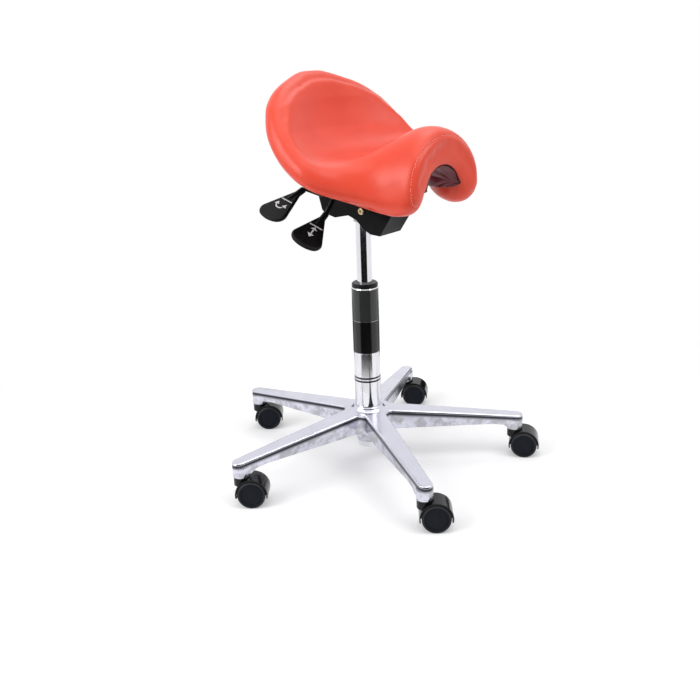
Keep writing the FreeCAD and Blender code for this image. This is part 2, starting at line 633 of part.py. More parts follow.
class Arc:
    """Arc from a point along a direction to an end point."""

    def __init__(self, start, direction, end):
        self.start = start
        self.direction = direction
        chord = (end[0] - start[0], end[1] - start[1])
        normal = (-direction[1], direction[0])
        ahead = chord[0] * direction[0] + chord[1] * direction[1]
        aside = chord[0] * normal[0] + chord[1] * normal[1]
        self.turn = 2 * math.atan2(aside, ahead)
        self.length = math.hypot(*chord)

    def end_direction(self):
        """Direction at the end of the arc."""
        c, s = math.cos(self.turn), math.sin(self.turn)
        return (self.direction[0] * c - self.direction[1] * s, self.direction[0] * s + self.direction[1] * c)

    def at(self, share, offset):
        """Point at a share of the arc, moved to its left by an offset."""
        turn = self.turn * share
        half = turn / 2
        if abs(self.turn) < 1e-6:
            reach = self.length * share
        else:
            reach = self.length * math.sin(half) / math.sin(self.turn / 2)
        heading = math.atan2(self.direction[1], self.direction[0])
        x = self.start[0] + reach * math.cos(heading + half)
        y = self.start[1] + reach * math.sin(heading + half)
        side = heading + turn + math.pi / 2
        return (x + offset * math.cos(side), y + offset * math.sin(side))

    def triple(self, offset, share):
        """Start, middle and end of the arc, moved sideways."""
        return [self.at(0, offset), self.at(share / 2, offset), self.at(share, offset)]


class SeatSection:
    """One cross-section of the saddle, in a plane that leans back with the seat."""

    def __init__(self, row):
        self.y, self.z, lean, self.reach, self.rise, turn, self.middle, roll = row
        self.lean = math.radians(lean)
        self.turn = math.radians(turn)
        self.roll_r = roll / 2
        self.lift = min(SHELL_UNDER + LINING_T, self.middle / 4)
        nx = -math.sin(self.turn) * self.roll_r
        nz = math.cos(self.turn) * self.roll_r
        self.centre = (self.reach, self.rise)
        self.top = Biarc((0, self.middle / 2), 0.0, (self.reach + nx, self.rise + nz), self.turn)
        self.under = Biarc((0, -self.middle / 2 + self.lift), 0.0,
                           (self.reach - nx, self.rise - nz), self.turn)

    def place(self, point):
        """Section point in the stool's frame."""
        x, up = point
        return V(x, self.y - up * math.sin(self.lean), self.z + up * math.cos(self.lean))

    def roll(self):
        """The rounded edge as two quarter turns from the top face to the under face."""
        out = []
        for first in (90.0, 0.0):
            steps = [math.radians(first - k * 45.0) + self.turn for k in range(3)]
            out.append([(self.centre[0] + self.roll_r * math.cos(s),
                         self.centre[1] + self.roll_r * math.sin(s)) for s in steps])
        return out

    def wire(self, half):
        """Closed wire from the triples of the right half and their mirror image."""
        left = [[(-x, z) for x, z in reversed(triple)] for triple in reversed(half)]
        return Part.Wire([self.edge([self.place(p) for p in triple]) for triple in half + left])

    def edge(self, triple):
        """Arc through three points, or the straight edge where they are in line."""
        start, middle, end = triple
        chord = end - start
        bulge = chord.cross(middle - start).Length / chord.Length
        if bulge < 1e-3:
            return Part.LineSegment(start, end).toShape()
        return Part.Arc(start, middle, end).toShape()

    def padding(self):
        """Outline of the padding."""
        under = [list(reversed(t)) for t in reversed(self.under.arcs())]
        return self.wire(self.top.arcs() + self.roll() + under)

    def layer(self, near, far, keep):
        """Outline of a thin layer under the padding, between two offsets."""
        upper = self.under.arcs(-near, keep)
        lower = [list(reversed(t)) for t in reversed(self.under.arcs(-far, keep))]
        edge = [upper[-1][2], lower[0][0]]
        mid = ((edge[0][0] + edge[1][0]) / 2, (edge[0][1] + edge[1][1]) / 2)
        bulge = (far - near) * 0.25
        side = self.turn
        mid = (mid[0] + bulge * math.cos(side), mid[1] + bulge * math.sin(side))
        return self.wire(upper + [[edge[0], mid, edge[1]]] + lower)


def seat_sections():
    """All cross-sections of the seat from front to back."""
    return [SeatSection(row) for row in SEAT_SECTIONS]


def seat_cushion():
    """Padded saddle: a pommel with two flaps, a waist and a dished cantle."""
    return Part.makeLoft([section.padding() for section in seat_sections()], True, False)


def seat_layer(near, far, keep, first, last):
    """Thin curved layer under the padding between two of its sections."""
    rows = seat_sections()[first:last + 1]
    return Part.makeLoft([section.layer(near, far, keep) for section in rows], True, False)


def seat_shell():
    """Moulded shell under the padding with four posts for the seat screws."""
    shell = seat_layer(SKIN_GAP, SHELL_UNDER, SHELL_SHARE, SHELL_FIRST, SHELL_LAST)
    ceiling = seat_layer(SKIN_GAP + SHELL_T / 2, POST_H, SHELL_SHARE, SHELL_FIRST, SHELL_LAST)
    top = PLATE_Z + PLATE_T
    for x, y in screw_places():
        post = cylinder(POST_R, top, top + POST_H, x, y)
        shell = shell.fuse(post.common(ceiling))
    for x, y in screw_places():
        shell = shell.cut(cylinder(SCREW_R + RUN_GAP, top - 1, top + SCREW_BITE + 1, x, y))
    return shell


def seat_lining():
    """Soft lining inside the pommel's arch and flaps."""
    near = SHELL_UNDER + SIDE_GAP
    layer = seat_layer(near, near + LINING_T, SHELL_SHARE, SHELL_FIRST, SHELL_LAST)
    wide = 3 * TALL
    front = Part.makeBox(wide, wide, wide, V(-wide / 2, LINING_REAR_Y - wide, TALL))
    return layer.common(front)


def pommel_trim():
    """Padded edge roll of the cover in front of the shell and the lining."""
    roll = seat_layer(SKIN_GAP, SHELL_UNDER + LINING_T + TRIM_PROUD, TRIM_SHARE, 0, SHELL_FIRST)
    roll.translate(V(0, -SIDE_GAP, 0))
    return roll


def seat_screws():
    """Four screws through the plate into the shell's posts."""
    solids = []
    for x, y in screw_places():
        shank = cylinder(SCREW_R, PLATE_Z, PLATE_Z + PLATE_T + SCREW_BITE, x, y)
        head = cylinder(SCREW_HEAD_R, PLATE_Z - SCREW_HEAD_H, PLATE_Z, x, y)
        recess = hexagon(HEX_KEY, SCREW_HEAD_H - 1.5)
        recess.translate(V(x, y, PLATE_Z - SCREW_HEAD_H))
        solids.append(shank.fuse(head).cut(recess))
    return Part.makeCompound(solids)


def caster_frame(index, shape):
    """Turn a caster part from its own frame (trail along +X) to its place."""
    centre = polar(STEM_CIRCLE_R, arm_angle(index))
    shape.rotate(V(0, 0, 0), UP, CASTER_HEADINGS[index])
    shape.translate(centre)
    return shape


def across(radius, low, high):
    """Cylinder along the caster's axle between two offsets from its middle."""
    return Part.makeCylinder(radius, high - low, V(TRAIL, low, WHEEL_R), V(0, 1, 0))


def caster_hood():
    """Fender over both wheels with the web between them and the stem's neck."""
    half = HOOD_W / 2
    ring = across(HOOD_OUT_R, -half, half).cut(across(HOOD_IN_R, -half - 1, half + 1))
    below = Part.makeBox(TALL, TALL, TALL, V(-TALL / 2, -TALL / 2, WHEEL_R - HOOD_SKIRT - TALL))
    ring = ring.cut(below)
    web = across(HOOD_IN_R + 0.5, -CASTER_WEB / 2, CASTER_WEB / 2).cut(below)
    hub = across(WHEEL_HUB_R, -CASTER_WEB / 2, CASTER_WEB / 2)
    neck = cylinder(NECK_R, STEM_ROOT_Z + 5.5, HOOD_TOP_Z)
    keep_out = across(HOOD_IN_R, CASTER_WEB / 2, half + 20)
    neck = neck.cut(keep_out).cut(keep_out.mirror(V(0, 0, 0), V(0, 1, 0)))
    hood = ring.fuse(web).fuse(hub).fuse(neck)
    roof = Part.makeBox(TALL, TALL, TALL, V(-TALL / 2, -TALL / 2, HOOD_TOP_Z))
    hood = hood.cut(roof)
    hood = hood.cut(across(AXLE_R + SEAT_GAP, -half, half))
    hood = hood.cut(cylinder(STEM_ROOT_R + SEAT_GAP, STEM_ROOT_Z - 0.5, TALL))
    return hood.cut(cylinder(STEM_R + SEAT_GAP, NECK_Z + 0.4, TALL)).removeSplitter()


def caster_stem():
    """Steel stem pressed in the hood, running in the arm's boss."""
    low = STEM_ROOT_Z
    wide = NECK_Z + 0.5
    return revolved([(0, low), (STEM_ROOT_R - 1, low), (STEM_ROOT_R, low + 1), (STEM_ROOT_R, wide),
                     (STEM_R, wide), (STEM_R, BOSS_Z + STEM_H - 1.5),
                     (STEM_R - 1.5, BOSS_Z + STEM_H), (0, BOSS_Z + STEM_H)])


def caster_axle():
    """Axle pin through the hood's web and both wheels."""
    reach = WHEEL_OFF + WHEEL_W - 5
    return across(AXLE_R, -reach, reach)


def wheel_blank(points, side):
    """Revolve (radius, offset) corners about the axle on one side of the web."""
    corners = [V(TRAIL, side * y, WHEEL_R + r) for r, y in points]
    face = Part.Face(Part.makePolygon(corners + corners[:1]))
    return face.revolve(V(TRAIL, 0, WHEEL_R), V(0, 1, 0), 360)


def caster_wheel(side):
    """Wheel disc with a dished outer face and a blind hub for the axle."""
    rim = WHEEL_R - TYRE_T
    inn, out = WHEEL_OFF, WHEEL_OFF + WHEEL_W
    bore = AXLE_R + RUN_GAP
    return wheel_blank([(bore, inn), (rim, inn), (rim, out - 0.6), (rim - 0.8, out),
                        (rim - 2.4, out), (rim - 3.2, out - HUB_DISH), (0, out - HUB_DISH),
                        (0, out - 4), (bore, out - 4)], side)


def caster_tyre(side):
    """Tread ring with bevelled shoulders."""
    rim = WHEEL_R - TYRE_T
    inn, out = WHEEL_OFF, WHEEL_OFF + WHEEL_W
    return wheel_blank([(rim, inn), (WHEEL_R - TYRE_BEVEL, inn), (WHEEL_R, inn + TYRE_BEVEL),
                        (WHEEL_R, out - TYRE_BEVEL), (WHEEL_R - TYRE_BEVEL, out), (rim, out - 0.6)], side)


def main():
    """Build every node."""
    os.makedirs("parts", exist_ok=True)
    save("star_base", star_base())
    save("column_tube", column_tube())
    save("column_bush", column_bush())
    save("thrust_bearing", thrust_bearing())
    save("rod_buffer", rod_buffer())
    save("piston_rod", piston_rod())
    save("rod_clip", rod_clip())
    save("rod_piston", rod_piston())
    save("gas_cylinder", gas_cylinder())
    save("valve_button", valve_button())
    save("mechanism_housing", mechanism_housing())
    save("taper_socket", taper_socket())
    save("tilt_carrier", tilt_carrier())
    save("pivot_bolt", pivot_bolt())
    save("pivot_nut", pivot_nut())
    save("height_lever", lever_rod(height_lever_route()))
    save("tilt_lever", lever_rod(tilt_lever_route()))
    save("height_paddle", paddle(height_lever_route(), HEIGHT_ROLL))
    save("tilt_paddle", paddle(tilt_lever_route(), TILT_ROLL))
    save("lever_bushes", lever_bushes())
    save("seat_cushion", seat_cushion())
    save("seat_shell", seat_shell())
    save("seat_lining", seat_lining())
    save("pommel_trim", pommel_trim())
    save("seat_screws", seat_screws())
    for index in range(ARMS):
        name = "caster_%d_" % (index + 1)
        save(name + "hood", caster_frame(index, caster_hood()))
        save(name + "stem", caster_frame(index, caster_stem()))
        save(name + "axle", caster_frame(index, caster_axle()))
        for side, word in ((1, "left"), (-1, "right")):
            save(name + "wheel_" + word, caster_frame(index, caster_wheel(side)))
            save(name + "tyre_" + word, caster_frame(index, caster_tyre(side)))


main()
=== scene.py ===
import json
import logging
import math
from dataclasses import dataclass, field
from enum import Enum

import bmesh
import bpy
import numpy as np
from mathutils import Matrix, Vector
from mathutils.kdtree import KDTree


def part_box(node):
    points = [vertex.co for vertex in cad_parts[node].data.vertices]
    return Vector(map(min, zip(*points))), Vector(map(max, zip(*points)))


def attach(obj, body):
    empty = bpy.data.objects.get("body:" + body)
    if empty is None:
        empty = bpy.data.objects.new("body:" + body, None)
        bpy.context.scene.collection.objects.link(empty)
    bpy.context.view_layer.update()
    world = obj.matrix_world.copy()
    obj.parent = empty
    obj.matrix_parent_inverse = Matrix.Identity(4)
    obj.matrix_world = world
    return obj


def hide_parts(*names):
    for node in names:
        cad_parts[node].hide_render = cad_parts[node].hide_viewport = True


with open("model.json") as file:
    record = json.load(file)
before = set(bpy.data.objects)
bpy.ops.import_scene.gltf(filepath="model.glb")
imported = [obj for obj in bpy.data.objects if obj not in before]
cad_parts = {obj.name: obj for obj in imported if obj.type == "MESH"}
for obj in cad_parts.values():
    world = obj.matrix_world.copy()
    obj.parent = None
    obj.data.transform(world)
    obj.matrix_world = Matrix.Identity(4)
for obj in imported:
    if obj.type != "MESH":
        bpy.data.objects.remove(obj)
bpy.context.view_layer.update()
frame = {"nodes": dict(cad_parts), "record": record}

LOG = logging.getLogger("saddle_stool")

SEAT_BODY = "seat"
BASE_BODY = "base"
TUBE_TIP = 0.3
Colour = tuple[float, float, float]
Socket = bpy.types.NodeSocket


class Nodes:
    """A node tree with short ways to add nodes, links and sums."""

    def __init__(self, tree: bpy.types.NodeTree) -> None:
        """Work on one tree."""
        self.tree = tree

    def node(self, kind: str) -> bpy.types.Node:
        """Add a node of a type."""
        return self.tree.nodes.new("ShaderNode" + kind)

    def link(self, source: Socket, target: Socket) -> None:
        """Join two sockets."""
        self.tree.links.new(source, target)

    def maths(self, action: str, first: Socket | float,
              second: Socket | float = 0.0) -> Socket:
        """Join two values by a sum.

        Args:
            action: the Math node's operation.
            first: socket or number.
            second: socket or number.

        Returns:
            The result socket.
        """
        sums = self.node("Math")
        sums.operation = action
        for place, value in zip(sums.inputs, (first, second)):
            if isinstance(value, Socket):
                self.link(value, place)
            else:
                place.default_value = value
        return sums.outputs[0]

    def spread(self, source: Socket, low: float, high: float,
               window: tuple[float, float] = (0.3, 0.7)) -> Socket:
        """Stretch a texture's useful window onto two values.

        Args:
            source: factor socket.
            low: value at the window's start.
            high: value at the window's end.
            window: part of the texture's range that is used.

        Returns:
            The result socket.
        """
        ranged = self.node("MapRange")
        limits = {"From Min": window[0], "From Max": window[1], "To Min": low, "To Max": high}
        for name, value in limits.items():
            ranged.inputs[name].default_value = value
        self.link(source, ranged.inputs["Value"])
        return ranged.outputs["Result"]

    def seen(self) -> Socket:
        """1 for the rays that show a surface plainly: camera, glossy and transmission rays."""
        path = self.node("LightPath")
        polish = self.maths("MAXIMUM", path.outputs["Is Glossy Ray"], path.outputs["Is Transmission Ray"])
        return self.maths("MAXIMUM", path.outputs["Is Camera Ray"], polish)


class Graph(Nodes):
    """A node material under construction, with short ways to add textures to its shader."""

    def __init__(self, name: str) -> None:
        """Start a material that holds one principled shader."""
        self.material = bpy.data.materials.new(name)
        self.material.use_nodes = True
        super().__init__(self.material.node_tree)
        self.shader = self.tree.nodes["Principled BSDF"]
        self.coords = self.tree.nodes.new("ShaderNodeTexCoord").outputs["Object"]

    def set(self, **values: float | tuple[float, ...]) -> None:
        """Set the shader's own sockets, named with underscores for spaces."""
        for name, value in values.items():
            self.shader.inputs[name.replace("_", " ")].default_value = value

    def stretched(self, scale: tuple[float, float, float]) -> Socket:
        """Object coordinates stretched along the axes.

        Args:
            scale: factor along X, Y and Z.

        Returns:
            The mapped vector socket.
        """
        mapping = self.node("Mapping")
        mapping.inputs["Scale"].default_value = scale
        self.link(self.coords, mapping.inputs["Vector"])
        return mapping.outputs["Vector"]

    def noise(self, size: float, detail: float = 3.0, rough: float = 0.5,
              coords: Socket | None = None) -> Socket:
        """Noise whose blotches have a size in metres.

        Args:
            size: rough size of one blotch in metres.
            detail: number of finer octaves.
            rough: strength of the finer octaves.
            coords: vector socket, the object's coordinates if left out.

        Returns:
            The factor socket.
        """
        noise = self.node("TexNoise")
        noise.inputs["Scale"].default_value = 1.0 / size
        noise.inputs["Detail"].default_value = detail
        noise.inputs["Roughness"].default_value = rough
        self.link(coords or self.coords, noise.inputs["Vector"])
        return noise.outputs["Fac"]

    def cells(self, size: float) -> Socket:
        """Distance to the nearest cell point, for pebbled grain.

        Args:
            size: rough size of one cell in metres.

        Returns:
            The distance socket.
        """
        cells = self.node("TexVoronoi")
        cells.feature = "SMOOTH_F1"
        cells.inputs["Scale"].default_value = 1.0 / size
        cells.inputs["Smoothness"].default_value = 0.4
        self.link(self.coords, cells.inputs["Vector"])
        return cells.outputs["Distance"]

    def from_axis(self) -> Socket:
        """A point's distance from the column's axis, in metres."""
        length = self.node("VectorMath")
        length.operation = "LENGTH"
        self.link(self.stretched((1.0, 1.0, 0.0)), length.inputs[0])
        return length.outputs["Value"]

    def upright(self, source: Socket) -> Socket:
        """The Z part of a vector."""
        parts = self.node("SeparateXYZ")
        self.link(source, parts.inputs[0])
        return parts.outputs["Z"]

    def blend(self, source: Socket, first: Socket | Colour,
              second: Socket | Colour) -> Socket:
        """A colour between two others.

        Args:
            source: factor socket from 0 to 1.
            first: socket or linear colour at 0.
            second: socket or linear colour at 1.

        Returns:
            The colour socket.
        """
        mix = self.node("Mix")
        mix.data_type = "RGBA"
        for place, value in ((6, first), (7, second)):
            if isinstance(value, Socket):
                self.link(value, mix.inputs[place])
            else:
                mix.inputs[place].default_value = (*value, 1.0)
        self.link(source, mix.inputs[0])
        return mix.outputs[2]

    def tint(self, source: Socket, first: Colour, second: Colour) -> None:
        """Colour the surface between two tints by a factor from 0 to 1."""
        self.link(self.blend(source, first, second), self.shader.inputs["Base Color"])

    def roughen(self, source: Socket) -> None:
        """Drive the roughness."""
        self.link(source, self.shader.inputs["Roughness"])

    def relief(self, layers: list[tuple[Socket, float]], edge: float = 0.0) -> None:
        """Give the surface a relief.

        Args:
            layers: texture sockets, each with its height in metres.
            edge: radius in metres to which sharp edges are eased, 0 for none.
        """
        normal = None
        if edge > 0.0:
            bevel = self.node("Bevel")
            bevel.samples = 4
            bevel.inputs["Radius"].default_value = edge
            normal = bevel.outputs["Normal"]
        for source, height in layers:
            bump = self.node("Bump")
            bump.inputs["Strength"].default_value = 1.0
            bump.inputs["Distance"].default_value = height
            self.link(source, bump.inputs["Height"])
            if normal is not None:
                self.link(normal, bump.inputs["Normal"])
            normal = bump.outputs["Normal"]
        if normal is not None:
            self.link(normal, self.shader.inputs["Normal"])


@dataclass(frozen=True)
class LeatherFinish:
    """Smooth dyed leather over foam."""

    name: str
    colour: Colour
    deep: Colour
    roughness: float = 0.36
    grain: float = 0.0010
    grain_height: float = 0.00004
    waviness: float = 0.00012

    def material(self) -> bpy.types.Material:
        """Build the material."""
        graph = Graph(self.name)
        graph.set(Specular_IOR_Level=0.5, Sheen_Weight=0.04, Sheen_Roughness=0.4)
        graph.tint(graph.spread(graph.noise(0.05, 4.0), 0.0, 1.0), self.colour, self.deep)
        graph.roughen(graph.spread(graph.noise(0.02), self.roughness - 0.03, self.roughness + 0.04))
        waves = graph.noise(0.045, 2.0)
        graph.relief([(waves, self.waviness), (graph.cells(self.grain), self.grain_height)])
        return graph.material


@dataclass(frozen=True)
class ChromeFinish:
    """Bright plated steel with faint marks along its length."""

    name: str
    colour: Colour = (0.80, 0.80, 0.84)
    roughness: float = 0.07

    def material(self) -> bpy.types.Material:
        """Build the material."""
        graph = Graph(self.name)
        graph.set(Metallic=1.0)
        smudge = graph.noise(0.03, 5.0, 0.6)
        graph.tint(graph.spread(smudge, 0.0, 1.0), self.colour, tuple(0.93 * c for c in self.colour))
        marks = graph.noise(0.002, 2.0, 0.5, graph.stretched((1.0, 1.0, 0.03)))
        graph.roughen(graph.spread(smudge, self.roughness, self.roughness + 0.05))
        graph.relief([(marks, 0.000006)])
        return graph.material


@dataclass(frozen=True)
class AlloyFinish:
    """Cast aluminium arms: polished tops, a dark band of painted reflection just below the top edge, and
    mottled sides.
    """

    name: str
    colour: Colour = (0.70, 0.70, 0.80)
    mottle: Colour = (0.40, 0.40, 0.43)
    # Colour of the painted reflection: a dark band below the arms' top edge, not a recess in the solid.
    painted_reflection_colour: Colour = (0.045, 0.045, 0.052)
    roughness: float = 0.17
    root_height: float = 0.108
    root_radius: float = 0.033
    slope: float = 0.0955
    # Depths below the top edge at which the painted reflection starts, is full, fades and ends.
    reflection_start: float = 0.0022
    reflection_full: float = 0.0045
    reflection_fade: float = 0.0075
    reflection_end: float = 0.0125

    def material(self) -> bpy.types.Material:
        """Build the material.

        Returns:
            The material.
        """
        graph = Graph(self.name)
        graph.set(Metallic=1.0)
        cloud = graph.noise(0.035, 5.0, 0.6)
        dull = tuple(0.92 * c for c in self.colour)
        clean = graph.blend(graph.spread(cloud, 0.0, 1.0), self.colour, dull)
        side = self.side(graph)
        depth = self.depth(graph)
        low = graph.spread(depth, 0.0, 0.85, (self.reflection_fade, self.reflection_end))
        blotch = graph.spread(graph.noise(0.022, 4.0, 0.65), 0.0, 1.0, (0.42, 0.58))
        stained = graph.maths("MULTIPLY", graph.maths("MULTIPLY", low, blotch), side)
        lower = graph.blend(stained, clean, self.mottle)
        # Painted reflection: upright faces get a dark band just below the top edge, standing in for a dark
        # reflection.
        start = graph.spread(depth, 0.0, 1.0, (self.reflection_start, self.reflection_full))
        end = graph.spread(depth, 1.0, 0.0, (self.reflection_fade, self.reflection_end))
        dark = graph.maths("MULTIPLY", graph.maths("MULTIPLY", start, end), side)
        graph.link(graph.blend(dark, lower, self.painted_reflection_colour), graph.shader.inputs["Base Color"])
        graph.roughen(graph.spread(cloud, self.roughness - 0.03, self.roughness + 0.07))
        layers = [(graph.noise(0.012, 2.0), 0.00008), (graph.noise(0.0012, 3.0), 0.000006)]
        graph.relief(layers, 0.0012)
        return graph.material

    def depth(self, graph: Graph) -> Socket:
        """How far a point lies under the sloping tops of the arms, in metres."""
        past_root = graph.maths("SUBTRACT", graph.from_axis(), self.root_radius)
        drop = graph.maths("MULTIPLY", past_root, self.slope)
        top = graph.maths("SUBTRACT", self.root_height, graph.maths("MAXIMUM", drop, 0.0))
        return graph.maths("SUBTRACT", top, graph.upright(graph.coords))

    def side(self, graph: Graph) -> Socket:
        """1 on upright faces and 0 on level ones."""
        normal = graph.node("NewGeometry").outputs["True Normal"]
        return graph.spread(graph.maths("ABSOLUTE", graph.upright(normal)), 1.0, 0.0, (0.45, 0.8))


@dataclass(frozen=True)
class TurnedFinish:
    """Plain or plated steel with fine turning marks."""

    name: str
    colour: Colour
    roughness: float = 0.3

    def material(self) -> bpy.types.Material:
        """Build the material."""
        graph = Graph(self.name)
        graph.set(Metallic=1.0)
        stain = graph.noise(0.006, 4.0, 0.6)
        graph.tint(graph.spread(stain, 0.0, 1.0), self.colour, tuple(0.8 * c for c in self.colour))
        graph.roughen(graph.spread(stain, self.roughness - 0.05, self.roughness + 0.1))
        graph.relief([(graph.noise(0.0006, 2.0, 0.5, graph.stretched((0.1, 0.1, 1.0))), 0.00001)], 0.0004)
        return graph.material


@dataclass(frozen=True)
class CoatFinish:
    """Paint or moulded plastic: a dark coloured skin with its own texture."""

    name: str
    colour: Colour
    roughness: float
    texture_size: float
    texture_height: float
    edge: float = 0.0006
    gloss_coat: float = 0.0
    specular: float = 0.2

    def material(self) -> bpy.types.Material:
        """Build the material."""
        graph = Graph(self.name)
        graph.set(Coat_Weight=self.gloss_coat, Coat_Roughness=0.08, Specular_IOR_Level=self.specular)
        dust = graph.noise(0.018, 4.0, 0.6)
        graph.tint(graph.spread(dust, 0.0, 1.0), self.colour, tuple(1.35 * c + 0.002 for c in self.colour))
        graph.roughen(graph.spread(dust, self.roughness - 0.03, self.roughness + 0.06))
        graph.relief([(graph.noise(self.texture_size, 2.0), self.texture_height)], self.edge)
        return graph.material


@dataclass(frozen=True)
class FilmFinish:
    """Printed or clear film on the tube."""

    name: str
    colour: Colour
    roughness: float
    metallic: float = 0.0

    def material(self) -> bpy.types.Material:
        """Build the material."""
        graph = Graph(self.name)
        graph.set(Metallic=self.metallic)
        wipe = graph.noise(0.02, 4.0, 0.6, graph.stretched((1.0, 1.0, 0.4)))
        graph.tint(graph.spread(wipe, 0.0, 1.0), self.colour, tuple(0.9 * c for c in self.colour))
        graph.roughen(graph.spread(wipe, self.roughness, self.roughness + 0.08))
        graph.relief([(graph.noise(0.009, 2.0), 0.00003)])
        return graph.material


class Slot(Enum):
    """Each finish by its slot. All are slots of the record but the tube's painted reflection band and the
    welt's painted highlight.
    """

    CORAL_LEATHER = LeatherFinish("coral_leather", (0.80, 0.060, 0.022), (0.74, 0.050, 0.017))
    BURGUNDY_LINING = LeatherFinish("burgundy_lining", (0.17, 0.008, 0.018), (0.10, 0.004, 0.010), 0.38,
                                    0.0016, 0.0001)
    SHELL_PLASTIC = CoatFinish("shell_plastic", (0.006, 0.006, 0.007), 0.5, 0.0012, 0.00006)
    BLACK_PAINT = CoatFinish("black_paint", (0.004, 0.004, 0.005), 0.22,
                             0.0022, 0.00003, 0.0009, 0.03, 0.07)
    PLAIN_STEEL = TurnedFinish("plain_steel", (0.50, 0.50, 0.52))
    YELLOW_ZINC = TurnedFinish("yellow_zinc", (0.72, 0.56, 0.34), 0.28)
    LEVER_PAINT = CoatFinish("lever_paint", (0.004, 0.004, 0.005), 0.28, 0.0018, 0.00003, 0.0, 0.0, 0.14)
    GRIP_PLASTIC = CoatFinish("grip_plastic", (0.005, 0.005, 0.006), 0.34,
                              0.0007, 0.00003, 0.0012, 0.0, 0.14)
    BLACK_BUSH = CoatFinish("black_bush", (0.006, 0.006, 0.007), 0.3, 0.0012, 0.00003)
    BRIGHT_CHROME = ChromeFinish("bright_chrome")
    PISTON_ALLOY = TurnedFinish("piston_alloy", (0.62, 0.62, 0.64))
    BLACK_RUBBER = CoatFinish("black_rubber", (0.012, 0.012, 0.012), 0.7, 0.001, 0.00008)
    POLISHED_ALLOY = AlloyFinish("polished_alloy")
    CASTER_GLOSS = CoatFinish("caster_gloss", (0.003, 0.003, 0.004), 0.12,
                              0.004, 0.00001, 0.0007, 0.12, 0.2)
    WHEEL_PLASTIC = CoatFinish("wheel_plastic", (0.004, 0.006, 0.011), 0.4,
                               0.0012, 0.00003, 0.0006, 0.0, 0.14)
    TREAD = CoatFinish("tread", (0.018, 0.019, 0.021), 0.45, 0.0010, 0.00005, 0.0005, 0.0, 0.25)
    LABEL_BLACK = FilmFinish("label_black", (0.003, 0.003, 0.003), 0.16)
    # Painted reflection: a dark grey film on the chrome tube's top, where the tube only reflects dark.
    LABEL_GREY = FilmFinish("label_grey", (0.030, 0.033, 0.032), 0.14)
    LABEL_CLEAR = FilmFinish("label_clear", (0.80, 0.80, 0.83), 0.12, 1.0)
    PRINT_WHITE = FilmFinish("print_white", (0.80, 0.80, 0.80), 0.4)
    THREAD = CoatFinish("thread", (0.86, 0.42, 0.34), 0.6, 0.0004, 0.00005, 0.0)
    # Painted highlight: a lighter copy of the coral leather, so the welt shows as a pale line.
    SEAT_HEM = LeatherFinish("seat_hem", (0.82, 0.13, 0.08), (0.76, 0.10, 0.06), 0.4)


class Wardrobe:
    """Makes each finish once and puts it on CAD nodes and new pieces."""

    def __init__(self) -> None:
        """Start with no material made."""
        self.made: dict[Slot, bpy.types.Material] = {}

    def material(self, slot: Slot) -> bpy.types.Material:
        """The material of a slot, made on first use."""
        if slot not in self.made:
            self.made[slot] = slot.value.material()
        return self.made[slot]

    def wear(self, piece: bpy.types.Object, slot: Slot) -> None:
        """Give a piece one finish all over."""
        if not piece.material_slots:
            piece.data.materials.append(self.material(slot))
        for place in piece.material_slots:
            place.material = self.material(slot)

    def dress_nodes(self) -> None:
        """Give every CAD node the finish of its slot in the record."""
        by_name = {slot.name.lower(): slot for slot in Slot}
        for row in frame["record"]["subparts"]:
            node = frame["nodes"][row["node"]]
            self.wear(node, by_name[row["material_slot"]])


def linked(name: str, data: bpy.types.ID) -> bpy.types.Object:
    """Make an object of some data and link it to the scene."""
    made = bpy.data.objects.new(name, data)
    bpy.context.scene.collection.objects.link(made)
    return made


def smooth(mesh: bpy.types.Mesh, on: bool = True) -> None:
    """Shade all faces of a mesh smooth, or flat."""
    for face in mesh.polygons:
        face.use_smooth = on


def heading(turn: float, height: float = 0.0) -> Vector:
    """A direction by its degrees round the column and above the floor."""
    a = math.radians(turn)
    e = math.radians(height)
    return Vector((math.sin(a) * math.cos(e), -math.cos(a) * math.cos(e), math.sin(e)))


def new_piece(name: str, mesh: bpy.types.Mesh, body: str, slot: Slot,
              wardrobe: Wardrobe) -> bpy.types.Object:
    """Link a finished mesh as a piece of the stool.

    Args:
        name: plain name of the piece.
        mesh: its mesh in the stool's frame.
        body: CAD body that it rides on.
        slot: its finish.
        wardrobe: where the finish comes from.

    Returns:
        The new object.
    """
    piece = linked(name, mesh)
    mesh.materials.clear()
    mesh.materials.append(wardrobe.material(slot))
    smooth(mesh)
    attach(piece, body)
    if slot.name.lower() in {row["slot"] for row in frame["record"]["materials"]}:
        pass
    else:
        LOG.warning("%s names no slot: the record has none for %s", name, slot.name.lower())
    return piece


def finished_mesh(name: str, shape: bmesh.types.BMesh, outward: bool = True) -> bpy.types.Mesh:
    """Turn a shape that is ready into a mesh.

    Args:
        name: mesh name.
        shape: the shape, which is freed.
        outward: whether its faces are first turned outward.

    Returns:
        The mesh.
    """
    if outward:
        bmesh.ops.recalc_face_normals(shape, faces=shape.faces)
    mesh = bpy.data.meshes.new(name)
    shape.to_mesh(mesh)
    shape.free()
    return mesh


def positions(mesh: bpy.types.Mesh) -> np.ndarray:
    """All vertices of a mesh as rows."""
    flat = np.empty(len(mesh.vertices) * 3)
    mesh.vertices.foreach_get("co", flat)
    return flat.reshape(-1, 3)


def normals(mesh: bpy.types.Mesh) -> np.ndarray:
    """The normals at all vertices of a mesh as rows."""
    flat = np.empty(len(mesh.vertices) * 3)
    mesh.vertex_normals.foreach_get("vector", flat)
    return flat.reshape(-1, 3)


def move_to(mesh: bpy.types.Mesh, points: np.ndarray) -> None:
    """Move all vertices of a mesh to new places."""
    mesh.vertices.foreach_set("co", points.ravel())
    mesh.update()


